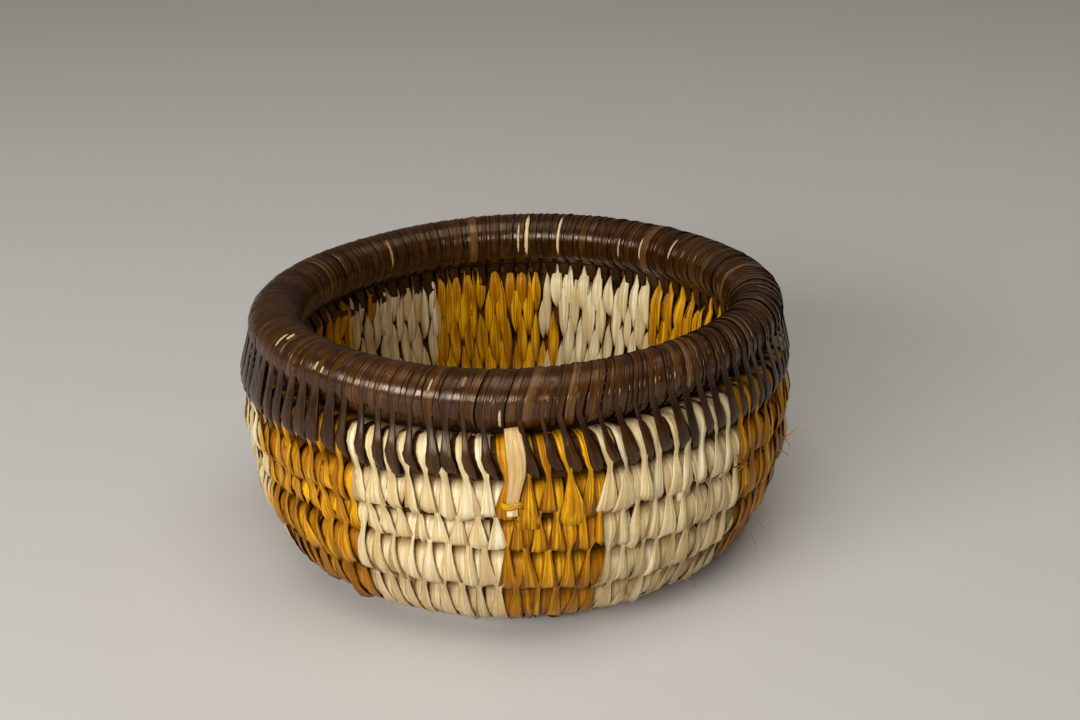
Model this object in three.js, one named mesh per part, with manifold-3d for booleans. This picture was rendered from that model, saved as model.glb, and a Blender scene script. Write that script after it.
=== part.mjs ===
// A hand-coiled palm basket: an open round bowl with a thick wrapped rim.
// One long bundle of fibre winds outward from the middle of the base and up the wall.
// Flat strip is stitched round it, in cream and yellow columns, and each long stitch also
// grips the coil below. Dark strip is wound round the rim and reaches down in fingers.
// Millimetres, +Z up. The basket stands on z = 0 and its front faces -Y.

import * as THREE from 'three';
import { mergeVertices } from 'three/addons/utils/BufferGeometryUtils.js';
import Module from 'manifold-3d';

const wasm = await Module();
wasm.setup();

const degree = Math.PI / 180;
const fullTurn = 2 * Math.PI;

// Driving dimensions of the bowl, along the middle line of its wall
const cornerRadius = 18; // bend from the base into the wall
const cornerSweep = 57 * degree;
const bellyRadius = 50.5; // gentler bend from there up to the rim
const wallLean = 91.5 * degree; // past upright, so that the mouth closes in a little
const coilThickness = 11.9; // a stitched coil, which is also the height of a row
const firstRowArc = 5.2; // the outermost base coil lies this far past the flat, into the bend
const wallRows = 5;
const baseRows = 4;
const floorCut = 0.5; // the underside is flattened by this much

// Driving dimensions of the bundles and the rim
const stitchSkin = 1.95; // stitching round the foundation coil, so that the coil fills the rest
const bundleSteps = 24; // steps in one loop of it
const bundleSides = 6;
const knotRadius = 3.4; // the button in the middle of the base
const knotRoom = 1.25; // between the button and the first coil, at the front
const knotRise = 0.4; // the button stands this far above the base coils
const knotRound = 2.2;
const knotSides = 10;
const rimInset = 5.1; // the rim roll's middle line lies this far inward of the top coil's
const rimThickness = 16.5;
const rimSkin = 1.75; // wrapping round the rim bundle
const rimBundleSteps = 36;
const rimSides = 10;
const rimStep = 7.5 * degree;
const scarfLength = 6; // the slanted joint between the rim bundle's ends

// Driving dimensions of the stitching
const stitchAngle = 3.75 * degree; // one stitch, round the basket
const ownDip = 0.2; // a stitch lies this far inside a round coil where it turns over its own
const longDip = 0.6; // and its long end this far inside the coil below
const openDepth = 3.75; // a groove between two coils, below the top of a round coil
const bridgedDepth = 2.35; // where a long stitch crosses it
const innerDepth = 2.75;
const ownShift = 0.14; // a stitch is widest this share of a row above its coil's middle
const longShift = -0.2; // and its long end this share of a row below the next one's
const topSkin = 0.237; // the stitching closes this far above the foundation coil in the top row
const innerStep = 10 * degree;
const tailDip = 3.55; // the thin tail of the coil lies this far inside a round coil
const tailDepth = 2.65; // and the groove under it
const tailLeast = 1.2; // the tail ends at this radius

// Driving dimensions of the dark fingers, which lie in notches between the top stitches
const notchDip = 1.05; // a notch's floor lies this far inside a round coil
const fingerThickness = 1.45;
const fingerWidth = 3.1;
const fingerEnd = -0.4; // share of a row below the top coil's middle
const fingerNeck = 0.38; // share of a row above it, where a finger leaves the coil
const fingerShares = [0.55, 0.65, 1, 0.85]; // of its size, at the root, neck, widest place and end
const fingerRootAngle = 17 * degree; // a finger grows out of the roll this far under its side

// Clearances
const seatGap = 0.3; // between two pieces that touch
const bundleGap = 0.35; // round a bundle in its stitches

// Handwork: the rim lies a little out of level and out of round
const tiltRight = 0.9 * degree; // the right side is higher
const tiltBack = -1.5 * degree; // the far side is lower
const ovalAlong = -0.012;
const ovalAcross = -0.02;
const squareness = 0.012;

// At the front left the rows are uneven: the coil is thicker low on the wall and thinner higher
// up. This is how much its radius gains there, row by row from the base up.
const unevenGains = [1.3, 0.6, -1.8, -0.3];
const unevenMiddle = 320 * degree;
const unevenReach = 50 * degree;

// Widths of the colour columns in degrees, from the seam at the back round past the right side
const seamAngle = 172.8 * degree;
const columnWidths = [30.6, 30.6, 30.7, 30.6, 31.7, 30.7, 20.3, 34, 29, 30.6, 30.6, 30.6];
const columnColours = ['yellow', 'cream'];
const baseSectors = 4;

const palette = {
  cream: { color: 0xe3d3a6, roughness: 0.6 },
  yellow: { color: 0xc9860f, roughness: 0.5 },
  brown: { color: 0x3a2114, roughness: 0.35 },
  tan: { color: 0xa9824e, roughness: 0.8 },
};

// Worked out from the sizes above
const climbMiddle = Math.PI; // the coil climbs at the back and runs level at the front
const coilRadius = coilThickness / 2;
const firstRadius = knotRadius + knotRoom + coilRadius;
const baseFlatRadius = firstRadius + baseRows * coilThickness - firstRowArc;
const bundleRadius = coilRadius - stitchSkin;
const channelRadius = bundleRadius + bundleGap / Math.cos(Math.PI / bundleSides);
const baseHeight = coilRadius - floorCut;
const cutHalfWidth = Math.sqrt(coilRadius ** 2 - baseHeight ** 2);
const ownHeight = coilRadius - ownDip;
const longHeight = coilRadius - longDip;
const notchHeight = coilRadius - notchDip;
const openGroove = coilRadius - openDepth; // how far out from the middle of the wall
const bridgedGroove = coilRadius - bridgedDepth;
const innerGroove = coilRadius - innerDepth;
const tailHeight = coilRadius - tailDip;
const tailGroove = coilRadius - tailDepth;
const topShare = (channelRadius + topSkin) / coilRadius;
const notchTop = coilRadius * Math.sqrt(1 - topShare ** 2);
const rowGains = [...unevenGains, -unevenGains.reduce((sum, gain) => sum + gain)]; // the rim stays level
const rimRollRadius = rimThickness / 2;
const rimBundleRadius = rimRollRadius - rimSkin;

// The middle line of the wall, by arc length from the edge of the flat base: a flat, a tight
// bend, a gentle bend and a straight.
function profileAt(arc) {
  const cornerLength = cornerRadius * cornerSweep;
  const bellyLength = bellyRadius * (wallLean - cornerSweep);
  if (arc <= 0) {
    return { r: baseFlatRadius + arc, z: baseHeight, lean: 0 };
  }
  if (arc <= cornerLength) {
    const lean = arc / cornerRadius;
    const z = baseHeight + cornerRadius * (1 - Math.cos(lean));
    return { r: baseFlatRadius + cornerRadius * Math.sin(lean), z, lean };
  }
  const lean = cornerSweep + Math.min(arc - cornerLength, bellyLength) / bellyRadius;
  const past = Math.max(arc - cornerLength - bellyLength, 0);
  const bendR = baseFlatRadius + cornerRadius * Math.sin(cornerSweep);
  const bendZ = baseHeight + cornerRadius * (1 - Math.cos(cornerSweep));
  const r = bendR + bellyRadius * (Math.sin(lean) - Math.sin(cornerSweep)) + past * Math.cos(lean);
  const z = bendZ + bellyRadius * (Math.cos(cornerSweep) - Math.cos(lean)) + past * Math.sin(lean);
  return { r, z, lean };
}

// A point at a radius and height, turned round the axis from the front towards +X.
function turned(r, z, angle) {
  return new THREE.Vector3(r * Math.sin(angle), -r * Math.cos(angle), z);
}

// A point out from the middle line of the wall, or inward where out is negative.
function wallPoint(arc, out, angle) {
  const { r, z, lean } = profileAt(arc);
  return turned(r + out * Math.sin(lean), z - out * Math.cos(lean), angle);
}

function spread(from, to, steps) {
  return Array.from({ length: steps + 1 }, (_, i) => from + ((to - from) * i) / steps);
}

// The coil by its turns: turn 0.5 is the outermost base coil at the front, and row n is the
// stretch from turn n to n + 1, which starts and ends at the back.
function turnAt(row, angle) {
  return row + (angle - climbMiddle) / fullTurn;
}

function plainCentre(turn) {
  const climb = turn - 0.5 + Math.sin(fullTurn * turn) / fullTurn;
  return firstRowArc + coilThickness * climb;
}

const topFront = plainCentre(wallRows + 0.5);

function gainAt(turn) {
  return rowGains.reduce((sum, gain, i) => {
    const away = ((turn - turnAt(i + 1, unevenMiddle)) * fullTurn) / unevenReach;
    return sum + gain * Math.exp(-(away ** 4));
  }, 0);
}

// The last turn thins out in the room that the row below leaves under the rim.
function coilRadiusAt(turn) {
  if (turn <= wallRows + 0.5) {
    return coilRadius + gainAt(turn);
  }
  const room = topFront + coilRadius - coilCentre(turn - 1) - coilRadiusAt(turn - 1);
  return Math.max(room / 2, tailLeast / 2);
}

// Each row lies on the one below, so it moves up by what the rows below it gain.
function coilCentre(turn) {
  if (turn <= wallRows + 0.5) {
    const below = spread(1, wallRows, wallRows - 1).reduce((sum, rows) => sum + gainAt(turn - rows), 0);
    return plainCentre(turn) + 2 * below + gainAt(turn);
  }
  return coilCentre(turn - 1) + coilRadiusAt(turn - 1) + coilRadiusAt(turn);
}

// Where a row touches the next one.
function grooveAbove(row, angle) {
  const turn = turnAt(row, angle);
  const share = coilRadiusAt(turn) / (coilRadiusAt(turn) + coilRadiusAt(turn + 1));
  return coilCentre(turn) + share * (coilCentre(turn + 1) - coilCentre(turn));
}

// A closed solid from points and triangles, with its faces turned outward.
function solidFrom(points, faces) {
  let volume = 0;
  for (const [a, b, c] of faces) {
    volume += points[a].dot(points[b].clone().cross(points[c]));
  }
  const index = faces.flatMap(([a, b, c]) => (volume > 0 ? [a, b, c] : [a, c, b]));
  const geometry = new THREE.BufferGeometry().setFromPoints(points);
  geometry.setIndex(index);
  return geometry;
}

// The cap over a loop of points that lies across the coil, with holes where channels come
// through, as triples of places in the loop and then in its holes.
function capFaces(loop, holes = []) {
  if (loop.length === 3) {
    return [[0, 1, 2]];
  }
  const flatten = (points) => points.map((p) => new THREE.Vector2(Math.hypot(p.x, p.y), p.z));
  const flat = flatten(loop);
  const clockwise = THREE.ShapeUtils.isClockWise(flat);
  return THREE.ShapeUtils.triangulateShape(flat, holes.map(flatten)).map(([a, b, c]) => {
    return clockwise ? [a, c, b] : [a, b, c];
  });
}

// A solid from closed loops that follow each other, all with the same number of points.
function loft(loops) {
  const size = loops[0].length;
  const last = loops.length - 1;
  const faces = capFaces(loops[0]);
  for (let i = 0; i < last; i += 1) {
    for (let j = 0; j < size; j += 1) {
      const a = i * size + j;
      const b = i * size + ((j + 1) % size);
      faces.push([b, a, a + size], [b, a + size, b + size]);
    }
  }
  for (const [a, b, c] of capFaces(loops[last])) {
    faces.push([last * size + a, last * size + c, last * size + b]);
  }
  return solidFrom(loops.flat(), faces);
}

// How far the middle between two points lies from the middle of the mouth.
function outFrom(p, q) {
  return p.clone().lerp(q, 0.5).distanceTo(new THREE.Vector3(0, 0, rimHeight));
}

// A shell over a sector: an outer and an inner skin, each in rows of points from the middle
// of the base outward and up, joined along both edges and both ends. Channels run through it
// from end to end, each a list of loops.
function shellSector(outer, inner, channels) {
  const outerWide = outer[0].length;
  const innerWide = inner[0].length;
  const outerAt = (i, j) => i * outerWide + j;
  const innerAt = (i, j) => outer.length * outerWide + i * innerWide + j;
  const points = [...outer.flat(), ...inner.flat()];
  const faces = [];
  const channelStarts = channels.map((loops) => {
    const start = points.length;
    points.push(...loops.flat());
    const size = loops[0].length;
    for (let i = 0; i + 1 < loops.length; i += 1) {
      for (let j = 0; j < size; j += 1) {
        const a = start + i * size + j;
        const b = start + i * size + ((j + 1) % size);
        faces.push([a, a + size, b], [b, a + size, b + size]);
      }
    }
    return start;
  });
  const addSkin = (rows, wide, at, outward) => {
    for (let i = 0; i + 1 < rows; i += 1) {
      for (let j = 0; j + 1 < wide; j += 1) {
        const [a, b, c, d] = [at(i, j), at(i, j + 1), at(i + 1, j + 1), at(i + 1, j)];
        const foldRises = outFrom(points[a], points[c]) > outFrom(points[b], points[d]);
        const halves = foldRises ? [[a, b, c], [a, c, d]] : [[a, b, d], [b, c, d]];
        faces.push(...halves.map(([e, f, g]) => (outward ? [e, f, g] : [e, g, f])));
      }
    }
  };
  addSkin(outer.length, outerWide, outerAt, true);
  addSkin(inner.length, innerWide, innerAt, false);
  const addEdge = (outerRow, innerRow, top) => {
    let j = 0;
    let k = 0;
    while (j + 1 < outerWide || k + 1 < innerWide) {
      const here = outerAt(outerRow, j);
      const across = innerAt(innerRow, k);
      const onOuter = k + 1 === innerWide
        || (j + 1 < outerWide && (j + 1) / (outerWide - 1) <= (k + 1) / (innerWide - 1));
      const next = onOuter ? outerAt(outerRow, j + 1) : innerAt(innerRow, k + 1);
      faces.push(top ? [here, next, across] : [here, across, next]);
      j += onOuter ? 1 : 0;
      k += onOuter ? 0 : 1;
    }
  };
  addEdge(outer.length - 1, inner.length - 1, true);
  addEdge(0, 0, false);
  for (const atEnd of [false, true]) {
    const outerEnd = outer.map((_, i) => outerAt(i, atEnd ? outerWide - 1 : 0));
    const innerEnd = inner.map((_, i) => innerAt(i, atEnd ? innerWide - 1 : 0));
    const holes = channels.map((loops, i) => {
      const size = loops[0].length;
      const first = channelStarts[i] + (atEnd ? (loops.length - 1) * size : 0);
      return loops[0].map((_, j) => first + j);
    });
    const loop = [...outerEnd, ...innerEnd.reverse()];
    const places = [...loop, ...holes.flat()];
    const toPoints = (list) => list.map((i) => points[i]);
    for (const [a, b, c] of capFaces(toPoints(loop), holes.map(toPoints))) {
      faces.push((atEnd ? [a, c, b] : [a, b, c]).map((i) => places[i]));
    }
  }
  return solidFrom(points, faces);
}

function toManifold(geometry) {
  const bare = geometry.clone();
  bare.deleteAttribute('normal');
  bare.deleteAttribute('uv');
  const merged = mergeVertices(bare, 1e-4);
  const vertProperties = new Float32Array(merged.attributes.position.array);
  const triVerts = new Uint32Array(merged.index.array);
  return new wasm.Manifold(new wasm.Mesh({ numProp: 3, vertProperties, triVerts }));
}

function fromManifold(manifold) {
  const mesh = manifold.getMesh();
  const geometry = new THREE.BufferGeometry();
  geometry.setAttribute('position', new THREE.BufferAttribute(mesh.vertProperties, 3));
  geometry.setIndex(new THREE.BufferAttribute(mesh.triVerts, 1));
  return geometry;
}

// The foundation coil has a loop at each end of a base sector or colour column, and between.
const columnEnds = [seamAngle];
const allWidths = columnWidths.reduce((sum, width) => sum + width);
for (const width of columnWidths) {
  columnEnds.push(columnEnds[columnEnds.length - 1] + (width / allWidths) * fullTurn);
}
const wallAngles = columnEnds.slice(1).flatMap((end, i) => [columnEnds[i], (columnEnds[i] + end) / 2]);
const baseAngles = spread(seamAngle, seamAngle + fullTurn, bundleSteps).slice(0, -1);
const coilStart = turnAt(-baseRows, seamAngle + fullTurn / baseSectors);
const coilEnd = turnAt(wallRows + 1, seamAngle);
const endTurn = seatGap / 2 / baseFlatRadius / fullTurn;

// The foundation coil thins out with its row, but where a row is thick the stitching fills it.
function coilLoop(radius, turn) {
  const thin = Math.min(coilRadiusAt(turn), coilRadius) - stitchSkin + radius - bundleRadius;
  return spread(0, fullTurn, bundleSides).slice(1).map((around) => {
    const arc = coilCentre(turn) + thin * Math.cos(around);
    return wallPoint(arc, thin * Math.sin(around), climbMiddle + fullTurn * turn);
  });
}

function coilTurns() {
  const turns = [coilStart + endTurn];
  for (let row = -baseRows; row <= wallRows; row += 1) {
    for (const angle of row < 1 ? baseAngles : wallAngles) {
      if (turnAt(row, angle) > coilStart + 2 * endTurn) {
        turns.push(turnAt(row, angle));
      }
    }
  }
  return [...turns, coilEnd - endTurn];
}

// The channels that the coil's rows leave in a sector of the stitching.
function coilChannels(firstRow, lastRow, angles) {
  const rows = spread(firstRow, lastRow, lastRow - firstRow);
  const held = rows.filter((row) => turnAt(row, angles[0]) > coilStart);
  return held.map((row) => angles.map((angle) => coilLoop(channelRadius, turnAt(row, angle))));
}

const coilPath = coilTurns().map((turn) => coilLoop(bundleRadius, turn));

// The least gap of the coil to itself, between points half a turn or more apart.
function leastGap(loops) {
  let least = Infinity;
  const apart = bundleSteps / 2;
  for (let i = 0; i < loops.length; i += 1) {
    for (const q of loops.slice(i + apart).flat()) {
      for (const p of loops[i]) {
        least = Math.min(least, p.distanceTo(q));
      }
    }
  }
  return least;
}

console.log(`foundation coil: ${(coilEnd - coilStart).toFixed(2)} turns,`,
  `least gap to itself ${leastGap(coilPath).toFixed(2)} mm`);

// The rim roll sits on the front of the top wall coil, a little inward of it.
const topCoil = profileAt(topFront);
const rimRadius = topCoil.r - rimInset;
const rimReach = coilRadius + rimRollRadius + seatGap;
const rimHeight = topCoil.z + Math.sqrt(rimReach ** 2 - rimInset ** 2);

function rimLoop(radius, sides, angle, slant) {
  return spread(0, fullTurn, sides).slice(1).map((around) => {
    const r = rimRadius + radius * Math.cos(around);
    return turned(r, rimHeight + radius * Math.sin(around), angle + slant * Math.sin(around));
  });
}

// One full turn, with ends cut on the slant that lie against each other at the seam.
function rimBundle() {
  const slant = scarfLength / 2 / rimRadius;
  const half = seatGap / 2 / rimRadius;
  const angles = spread(seamAngle + half, seamAngle + fullTurn - half, rimBundleSteps);
  return loft(angles.map((angle, i) => {
    return rimLoop(rimBundleRadius, bundleSides, angle, i % rimBundleSteps === 0 ? slant : 0);
  }));
}

// A channel for the rim bundle through one length of wrapping.
function rimChannel(from, to) {
  const radius = rimBundleRadius + bundleGap / Math.cos(Math.PI / bundleSides);
  const step = fullTurn / rimBundleSteps;
  const first = Math.floor((from - seamAngle) / step) - 1;
  const last = Math.ceil((to - seamAngle) / step) + 1;
  const angles = spread(seamAngle + first * step, seamAngle + last * step, last - first);
  return toManifold(loft(angles.map((angle) => rimLoop(radius, bundleSides, angle, 0))));
}

// Both ends of a sector drawn in by half a gap.
function drawnIn(from, to) {
  const half = seatGap / 2 / baseFlatRadius;
  return [from + half, to - half];
}

function stitchCount(from, to) {
  return Math.round((to - from) / stitchAngle);
}

// The top row of a column, which has the coil's thin tail over it near the seam.
function topRow(from, to) {
  const tail = coilRadiusAt(turnAt(wallRows + 1, (from + to) / 2));
  return tail > tailLeast ? wallRows + 1 : wallRows;
}

// Outside, every second line of points lies on a stitch of this row, and the lines between
// them on the long ends of the stitches of the row above.
function outerRows(from, to) {
  const top = topRow(from, to);
  const lines = spread(...drawnIn(from, to), 2 * stitchCount(from, to));
  const rows = [lines.map((angle, j) => {
    return wallPoint(grooveAbove(0, angle) + seatGap / 2, j % 2 ? openGroove : bridgedGroove, angle);
  })];
  for (let row = 1; row <= top; row += 1) {
    const isOwn = (j) => j % 2 !== row % 2;
    rows.push(lines.map((angle, j) => {
      const turn = turnAt(row, angle);
      const size = coilRadiusAt(turn) / coilRadius;
      const longOut = row === wallRows ? notchHeight : longHeight;
      const out = isOwn(j) ? ownHeight : longOut;
      const shift = (isOwn(j) ? ownShift : longShift) * coilThickness;
      return wallPoint(coilCentre(turn) + shift * size, (row > wallRows ? tailHeight : out) * size, angle);
    }));
    rows.push(lines.map((angle, j) => {
      const turn = turnAt(row, angle);
      const size = coilRadiusAt(turn) / coilRadius;
      if (row === top) {
        const out = row > wallRows ? tailHeight : notchTop;
        return wallPoint(coilCentre(turn) + topShare * coilRadiusAt(turn), out * size, angle);
      }
      const grooveOut = isOwn(j) ? openGroove : bridgedGroove;
      return wallPoint(grooveAbove(row, angle), row === wallRows ? tailGroove : grooveOut, angle);
    }));
  }
  return rows;
}

function innerRows(from, to) {
  const top = topRow(from, to);
  const lines = spread(...drawnIn(from, to), Math.round((to - from) / innerStep));
  const rows = [lines.map((angle) => {
    return wallPoint(grooveAbove(0, angle) + seatGap / 2, -innerGroove, angle);
  })];
  for (let row = 1; row <= top; row += 1) {
    rows.push(lines.map((angle) => {
      const turn = turnAt(row, angle);
      return wallPoint(coilCentre(turn), -coilRadiusAt(turn), angle);
    }));
    rows.push(lines.map((angle) => {
      const turn = turnAt(row, angle);
      if (row === top) {
        const size = coilRadiusAt(turn) / coilRadius;
        return wallPoint(coilCentre(turn) + topShare * coilRadiusAt(turn), -innerGroove * size, angle);
      }
      const size = coilRadiusAt(turn + 1) / coilRadius;
      return wallPoint(grooveAbove(row, angle), -innerGroove * size, angle);
    }));
  }
  return rows;
}

function columnStitches(from, to) {
  const channels = coilChannels(1, wallRows, spread(...drawnIn(from, to), 2));
  return shellSector(outerRows(from, to), innerRows(from, to), channels);
}

// One dark finger: a strip with a keel that lies in the notch, from the roll down over the
// top coil. Each station is a place on the wall, the keel's height and the strip's width.
function finger(angle) {
  const turn = turnAt(wallRows, angle);
  const size = coilRadiusAt(turn) / coilRadius;
  const row = coilThickness * size;
  const centre = coilCentre(turn);
  const rootReach = rimRollRadius - fingerThickness;
  const rootArc = topFront + rimHeight - topCoil.z - rootReach * Math.sin(fingerRootAngle);
  const stations = [
    [rootArc, rootReach * Math.cos(fingerRootAngle) - rimInset],
    [centre + fingerNeck * row, notchTop * size + bundleGap],
    [centre + longShift * row, notchHeight * size + bundleGap],
    [centre + fingerEnd * row, ((openGroove + bridgedGroove) / 2) * size + 2 * bundleGap],
  ];
  return loft(stations.map(([arc, keel], i) => {
    const share = fingerShares[i];
    const half = (fingerWidth * share) / 2 / topCoil.r;
    const top = keel + fingerThickness * share;
    const edges = [angle + half, angle - half].map((side) => wallPoint(arc, top, side));
    return [wallPoint(arc, keel, angle), ...edges];
  }));
}

function rimWrap(from, to) {
  const steps = Math.round((to - from) / rimStep);
  const loops = spread(...drawnIn(from, to), steps).map((angle) => {
    return rimLoop(rimRollRadius, rimSides, angle, 0);
  });
  let wrap = toManifold(loft(loops));
  const lines = spread(...drawnIn(from, to), 2 * stitchCount(from, to));
  lines.forEach((angle, j) => {
    if (j % 2 === wallRows % 2) {
      wrap = wrap.add(toManifold(finger(angle)));
    }
  });
  return fromManifold(wrap.subtract(rimChannel(from, to)));
}

// A sector of the base: flat bands below, where it stands, and round coils above.
function baseStitches(from, to) {
  const inner = knotRadius + seatGap - baseFlatRadius;
  const lines = spread(...drawnIn(from, to), bundleSteps / baseSectors);
  const underAndOver = lines.map((angle) => {
    const under = [wallPoint(inner, baseHeight, angle)];
    const over = [wallPoint(inner, -bridgedGroove, angle)];
    for (let row = -baseRows; row <= 0; row += 1) {
      const centre = plainCentre(turnAt(row, angle));
      const low = Math.max(centre - cutHalfWidth, inner + seatGap);
      const high = Math.max(centre + cutHalfWidth, low + seatGap);
      const groove = grooveAbove(row, angle) - (row === 0 ? seatGap / 2 : 0);
      under.push(wallPoint(low, baseHeight, angle), wallPoint(high, baseHeight, angle));
      under.push(wallPoint(groove, bridgedGroove, angle));
      over.push(wallPoint(Math.max(centre, low), -coilRadius, angle));
      over.push(wallPoint(groove, -innerGroove, angle));
    }
    return [under, over];
  });
  const inRows = (side) => underAndOver[0][side].map((_, i) => underAndOver.map((pair) => pair[side][i]));
  return shellSector(inRows(0), inRows(1), coilChannels(-baseRows, 0, lines));
}

// The wrapped button where the coil begins.
function startKnot() {
  const knotHeight = baseHeight + coilRadius + knotRise;
  const outline = [new THREE.Vector2(0, 0), new THREE.Vector2(knotRadius, 0)];
  for (const around of spread(0, Math.PI / 2, 3)) {
    const r = knotRadius - knotRound * (1 - Math.cos(around));
    outline.push(new THREE.Vector2(r, knotHeight - knotRound * (1 - Math.sin(around))));
  }
  outline.push(new THREE.Vector2(0, knotHeight));
  return new THREE.LatheGeometry(outline, knotSides).rotateX(Math.PI / 2);
}

// Handwork: higher up, the basket leans a little and is less round.
function handShape(geometry) {
  const position = geometry.attributes.position;
  const point = new THREE.Vector3();
  for (let i = 0; i < position.count; i += 1) {
    point.fromBufferAttribute(position, i);
    const share = point.z / rimHeight;
    const angle = Math.atan2(point.x, -point.y);
    const oval = ovalAlong * Math.cos(2 * angle) + ovalAcross * Math.sin(2 * angle);
    const stretch = 1 + share * (oval + squareness * Math.cos(4 * angle));
    const x = point.x * stretch;
    const y = point.y * stretch;
    position.setXYZ(i, x, y, point.z + share * (Math.tan(tiltRight) * x + Math.tan(tiltBack) * y));
  }
  return geometry;
}

const basket = new THREE.Group();

function addPiece(name, finish, geometry) {
  const material = new THREE.MeshStandardMaterial({ ...palette[finish], metalness: 0 });
  const mesh = new THREE.Mesh(handShape(geometry), material);
  mesh.name = name;
  basket.add(mesh);
}

addPiece('foundation_coil', 'tan', loft(coilPath));
addPiece('start_knot', 'cream', startKnot());
addPiece('rim_bundle', 'tan', rimBundle());

for (let i = 0; i < baseSectors; i += 1) {
  const from = seamAngle + (fullTurn * i) / baseSectors;
  addPiece(`base_stitches_${i + 1}`, 'cream', baseStitches(from, from + fullTurn / baseSectors));
}

for (let i = 0; i < columnWidths.length; i += 1) {
  const [from, to] = [columnEnds[i], columnEnds[i + 1]];
  const colour = columnColours[i % 2];
  addPiece(`${colour}_stitches_${Math.floor(i / 2) + 1}`, colour, columnStitches(from, to));
  addPiece(`rim_wrap_${i + 1}`, 'brown', rimWrap(from, to));
}

// The origin is on the floor under the middle of the basket's box.
const box = new THREE.Box3().setFromObject(basket);
const middle = box.getCenter(new THREE.Vector3());
for (const piece of basket.children) {
  piece.geometry.translate(-middle.x, -middle.y, 0);
}

export default basket;
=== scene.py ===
import bpy
import numpy as np
from mathutils import Matrix, Vector


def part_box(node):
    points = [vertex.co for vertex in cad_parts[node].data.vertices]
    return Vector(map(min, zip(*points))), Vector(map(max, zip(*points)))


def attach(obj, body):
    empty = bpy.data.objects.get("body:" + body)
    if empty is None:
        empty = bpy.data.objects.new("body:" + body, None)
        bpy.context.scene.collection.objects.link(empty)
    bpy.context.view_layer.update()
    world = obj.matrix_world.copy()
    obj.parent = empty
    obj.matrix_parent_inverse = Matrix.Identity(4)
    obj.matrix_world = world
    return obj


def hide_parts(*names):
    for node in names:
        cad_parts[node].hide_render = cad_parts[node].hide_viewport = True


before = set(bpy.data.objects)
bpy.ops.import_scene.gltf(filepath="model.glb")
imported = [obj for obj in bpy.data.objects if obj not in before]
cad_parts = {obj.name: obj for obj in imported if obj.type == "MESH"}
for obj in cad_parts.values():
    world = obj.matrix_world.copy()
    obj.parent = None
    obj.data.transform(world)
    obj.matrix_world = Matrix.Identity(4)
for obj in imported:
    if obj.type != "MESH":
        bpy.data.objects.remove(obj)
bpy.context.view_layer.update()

mm = 0.001  # shapes are worked out in millimetres and stored in metres
degree = np.pi / 180
fullTurn = 2 * np.pi
dice = np.random.default_rng(7)


# The camera comes first. It stands in front of the basket and looks down at it.
view = {
    "photoWidth": 1080, "photoHeight": 720,
    "focal": 1727.0,  # in pixels of the photograph
    "elevation": 21.5 * degree,
    "distance": 525.0,  # from the middle of the rim
    "rimMiddle": (0.2, -0.1, 72.4),
    "rimPixel": (517.3, 307.5),  # where the middle of the rim lies in the picture
    "roll": -0.4 * degree,
    "sensor": 36.0,
    "nearest": 0.01, "farthest": 20.0,  # what the camera sees lies between these, in metres
}


def makeCamera():
    # Aimed at the middle of the rim, then turned until that point lies on its pixel.
    right = np.array([1.0, 0.0, 0.0])
    ahead = np.array([0.0, np.cos(view["elevation"]), -np.sin(view["elevation"])])
    above = np.cross(right, ahead)
    place = np.array(view["rimMiddle"]) - view["distance"] * ahead
    turnX = np.arctan2(view["rimPixel"][0] - view["photoWidth"] / 2, view["focal"])
    turnY = np.arctan2(view["rimPixel"][1] - view["photoHeight"] / 2, view["focal"])
    right, ahead = (right * np.cos(turnX) + ahead * np.sin(turnX),
                    ahead * np.cos(turnX) - right * np.sin(turnX))
    ahead, above = (ahead * np.cos(turnY) + above * np.sin(turnY),
                    above * np.cos(turnY) - ahead * np.sin(turnY))
    right, above = (right * np.cos(view["roll"]) + above * np.sin(view["roll"]),
                    above * np.cos(view["roll"]) - right * np.sin(view["roll"]))
    data = bpy.data.cameras.new("studioCamera")
    data.sensor_width = view["sensor"]
    data.lens = view["focal"] / view["photoWidth"] * view["sensor"]
    data.clip_start, data.clip_end = view["nearest"], view["farthest"]
    camera = bpy.data.objects.new("studioCamera", data)
    bpy.context.scene.collection.objects.link(camera)
    camera.matrix_world = Matrix((
        (right[0], above[0], -ahead[0], place[0] * mm),
        (right[1], above[1], -ahead[1], place[1] * mm),
        (right[2], above[2], -ahead[2], place[2] * mm),
        (0, 0, 0, 1)))
    bpy.context.scene.camera = camera


makeCamera()
print("camera placed")


# The bowl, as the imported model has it
bowl = {
    "cornerRadius": 18.0, "cornerSweep": 57 * degree, "bellyRadius": 50.5, "wallLean": 91.5 * degree,
    "coilThickness": 11.9, "firstRowArc": 5.2, "wallRows": 5, "baseRows": 4, "floorCut": 0.5,
    "knotRadius": 3.4, "knotRoom": 1.25, "tailLeast": 1.2,
    "rimInset": 5.1, "rimThickness": 16.5, "seatGap": 0.3,
    "grooveReach": 0.55,  # how far out the wall is filled between two coils, in coil radii
    "tiltRight": 0.9 * degree, "tiltBack": -1.5 * degree,
    "ovalAlong": -0.012, "ovalAcross": -0.02, "squareness": 0.012,
    "unevenGains": [1.3, 0.6, -1.8, -0.3],  # at the front left, in the coil's radius, from row 1 up
    "unevenMiddle": 320 * degree, "unevenReach": 50 * degree,
    "seamAngle": 172.8 * degree,
    "columnWidths": [30.6, 30.6, 30.7, 30.6, 31.7, 30.7, 20.3, 34, 29, 30.6, 30.6, 30.6],
    "stitchAngle": 3.75 * degree,
    "spliceAngle": -0.7 * degree,  # where a new strip was let in
}
coilRadius = bowl["coilThickness"] / 2
baseHeight = coilRadius - bowl["floorCut"]
flatRadius = (bowl["knotRadius"] + bowl["knotRoom"] + coilRadius
              + bowl["baseRows"] * bowl["coilThickness"] - bowl["firstRowArc"])
rollRadius = bowl["rimThickness"] / 2
knotLow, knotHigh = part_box("start_knot")
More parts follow.
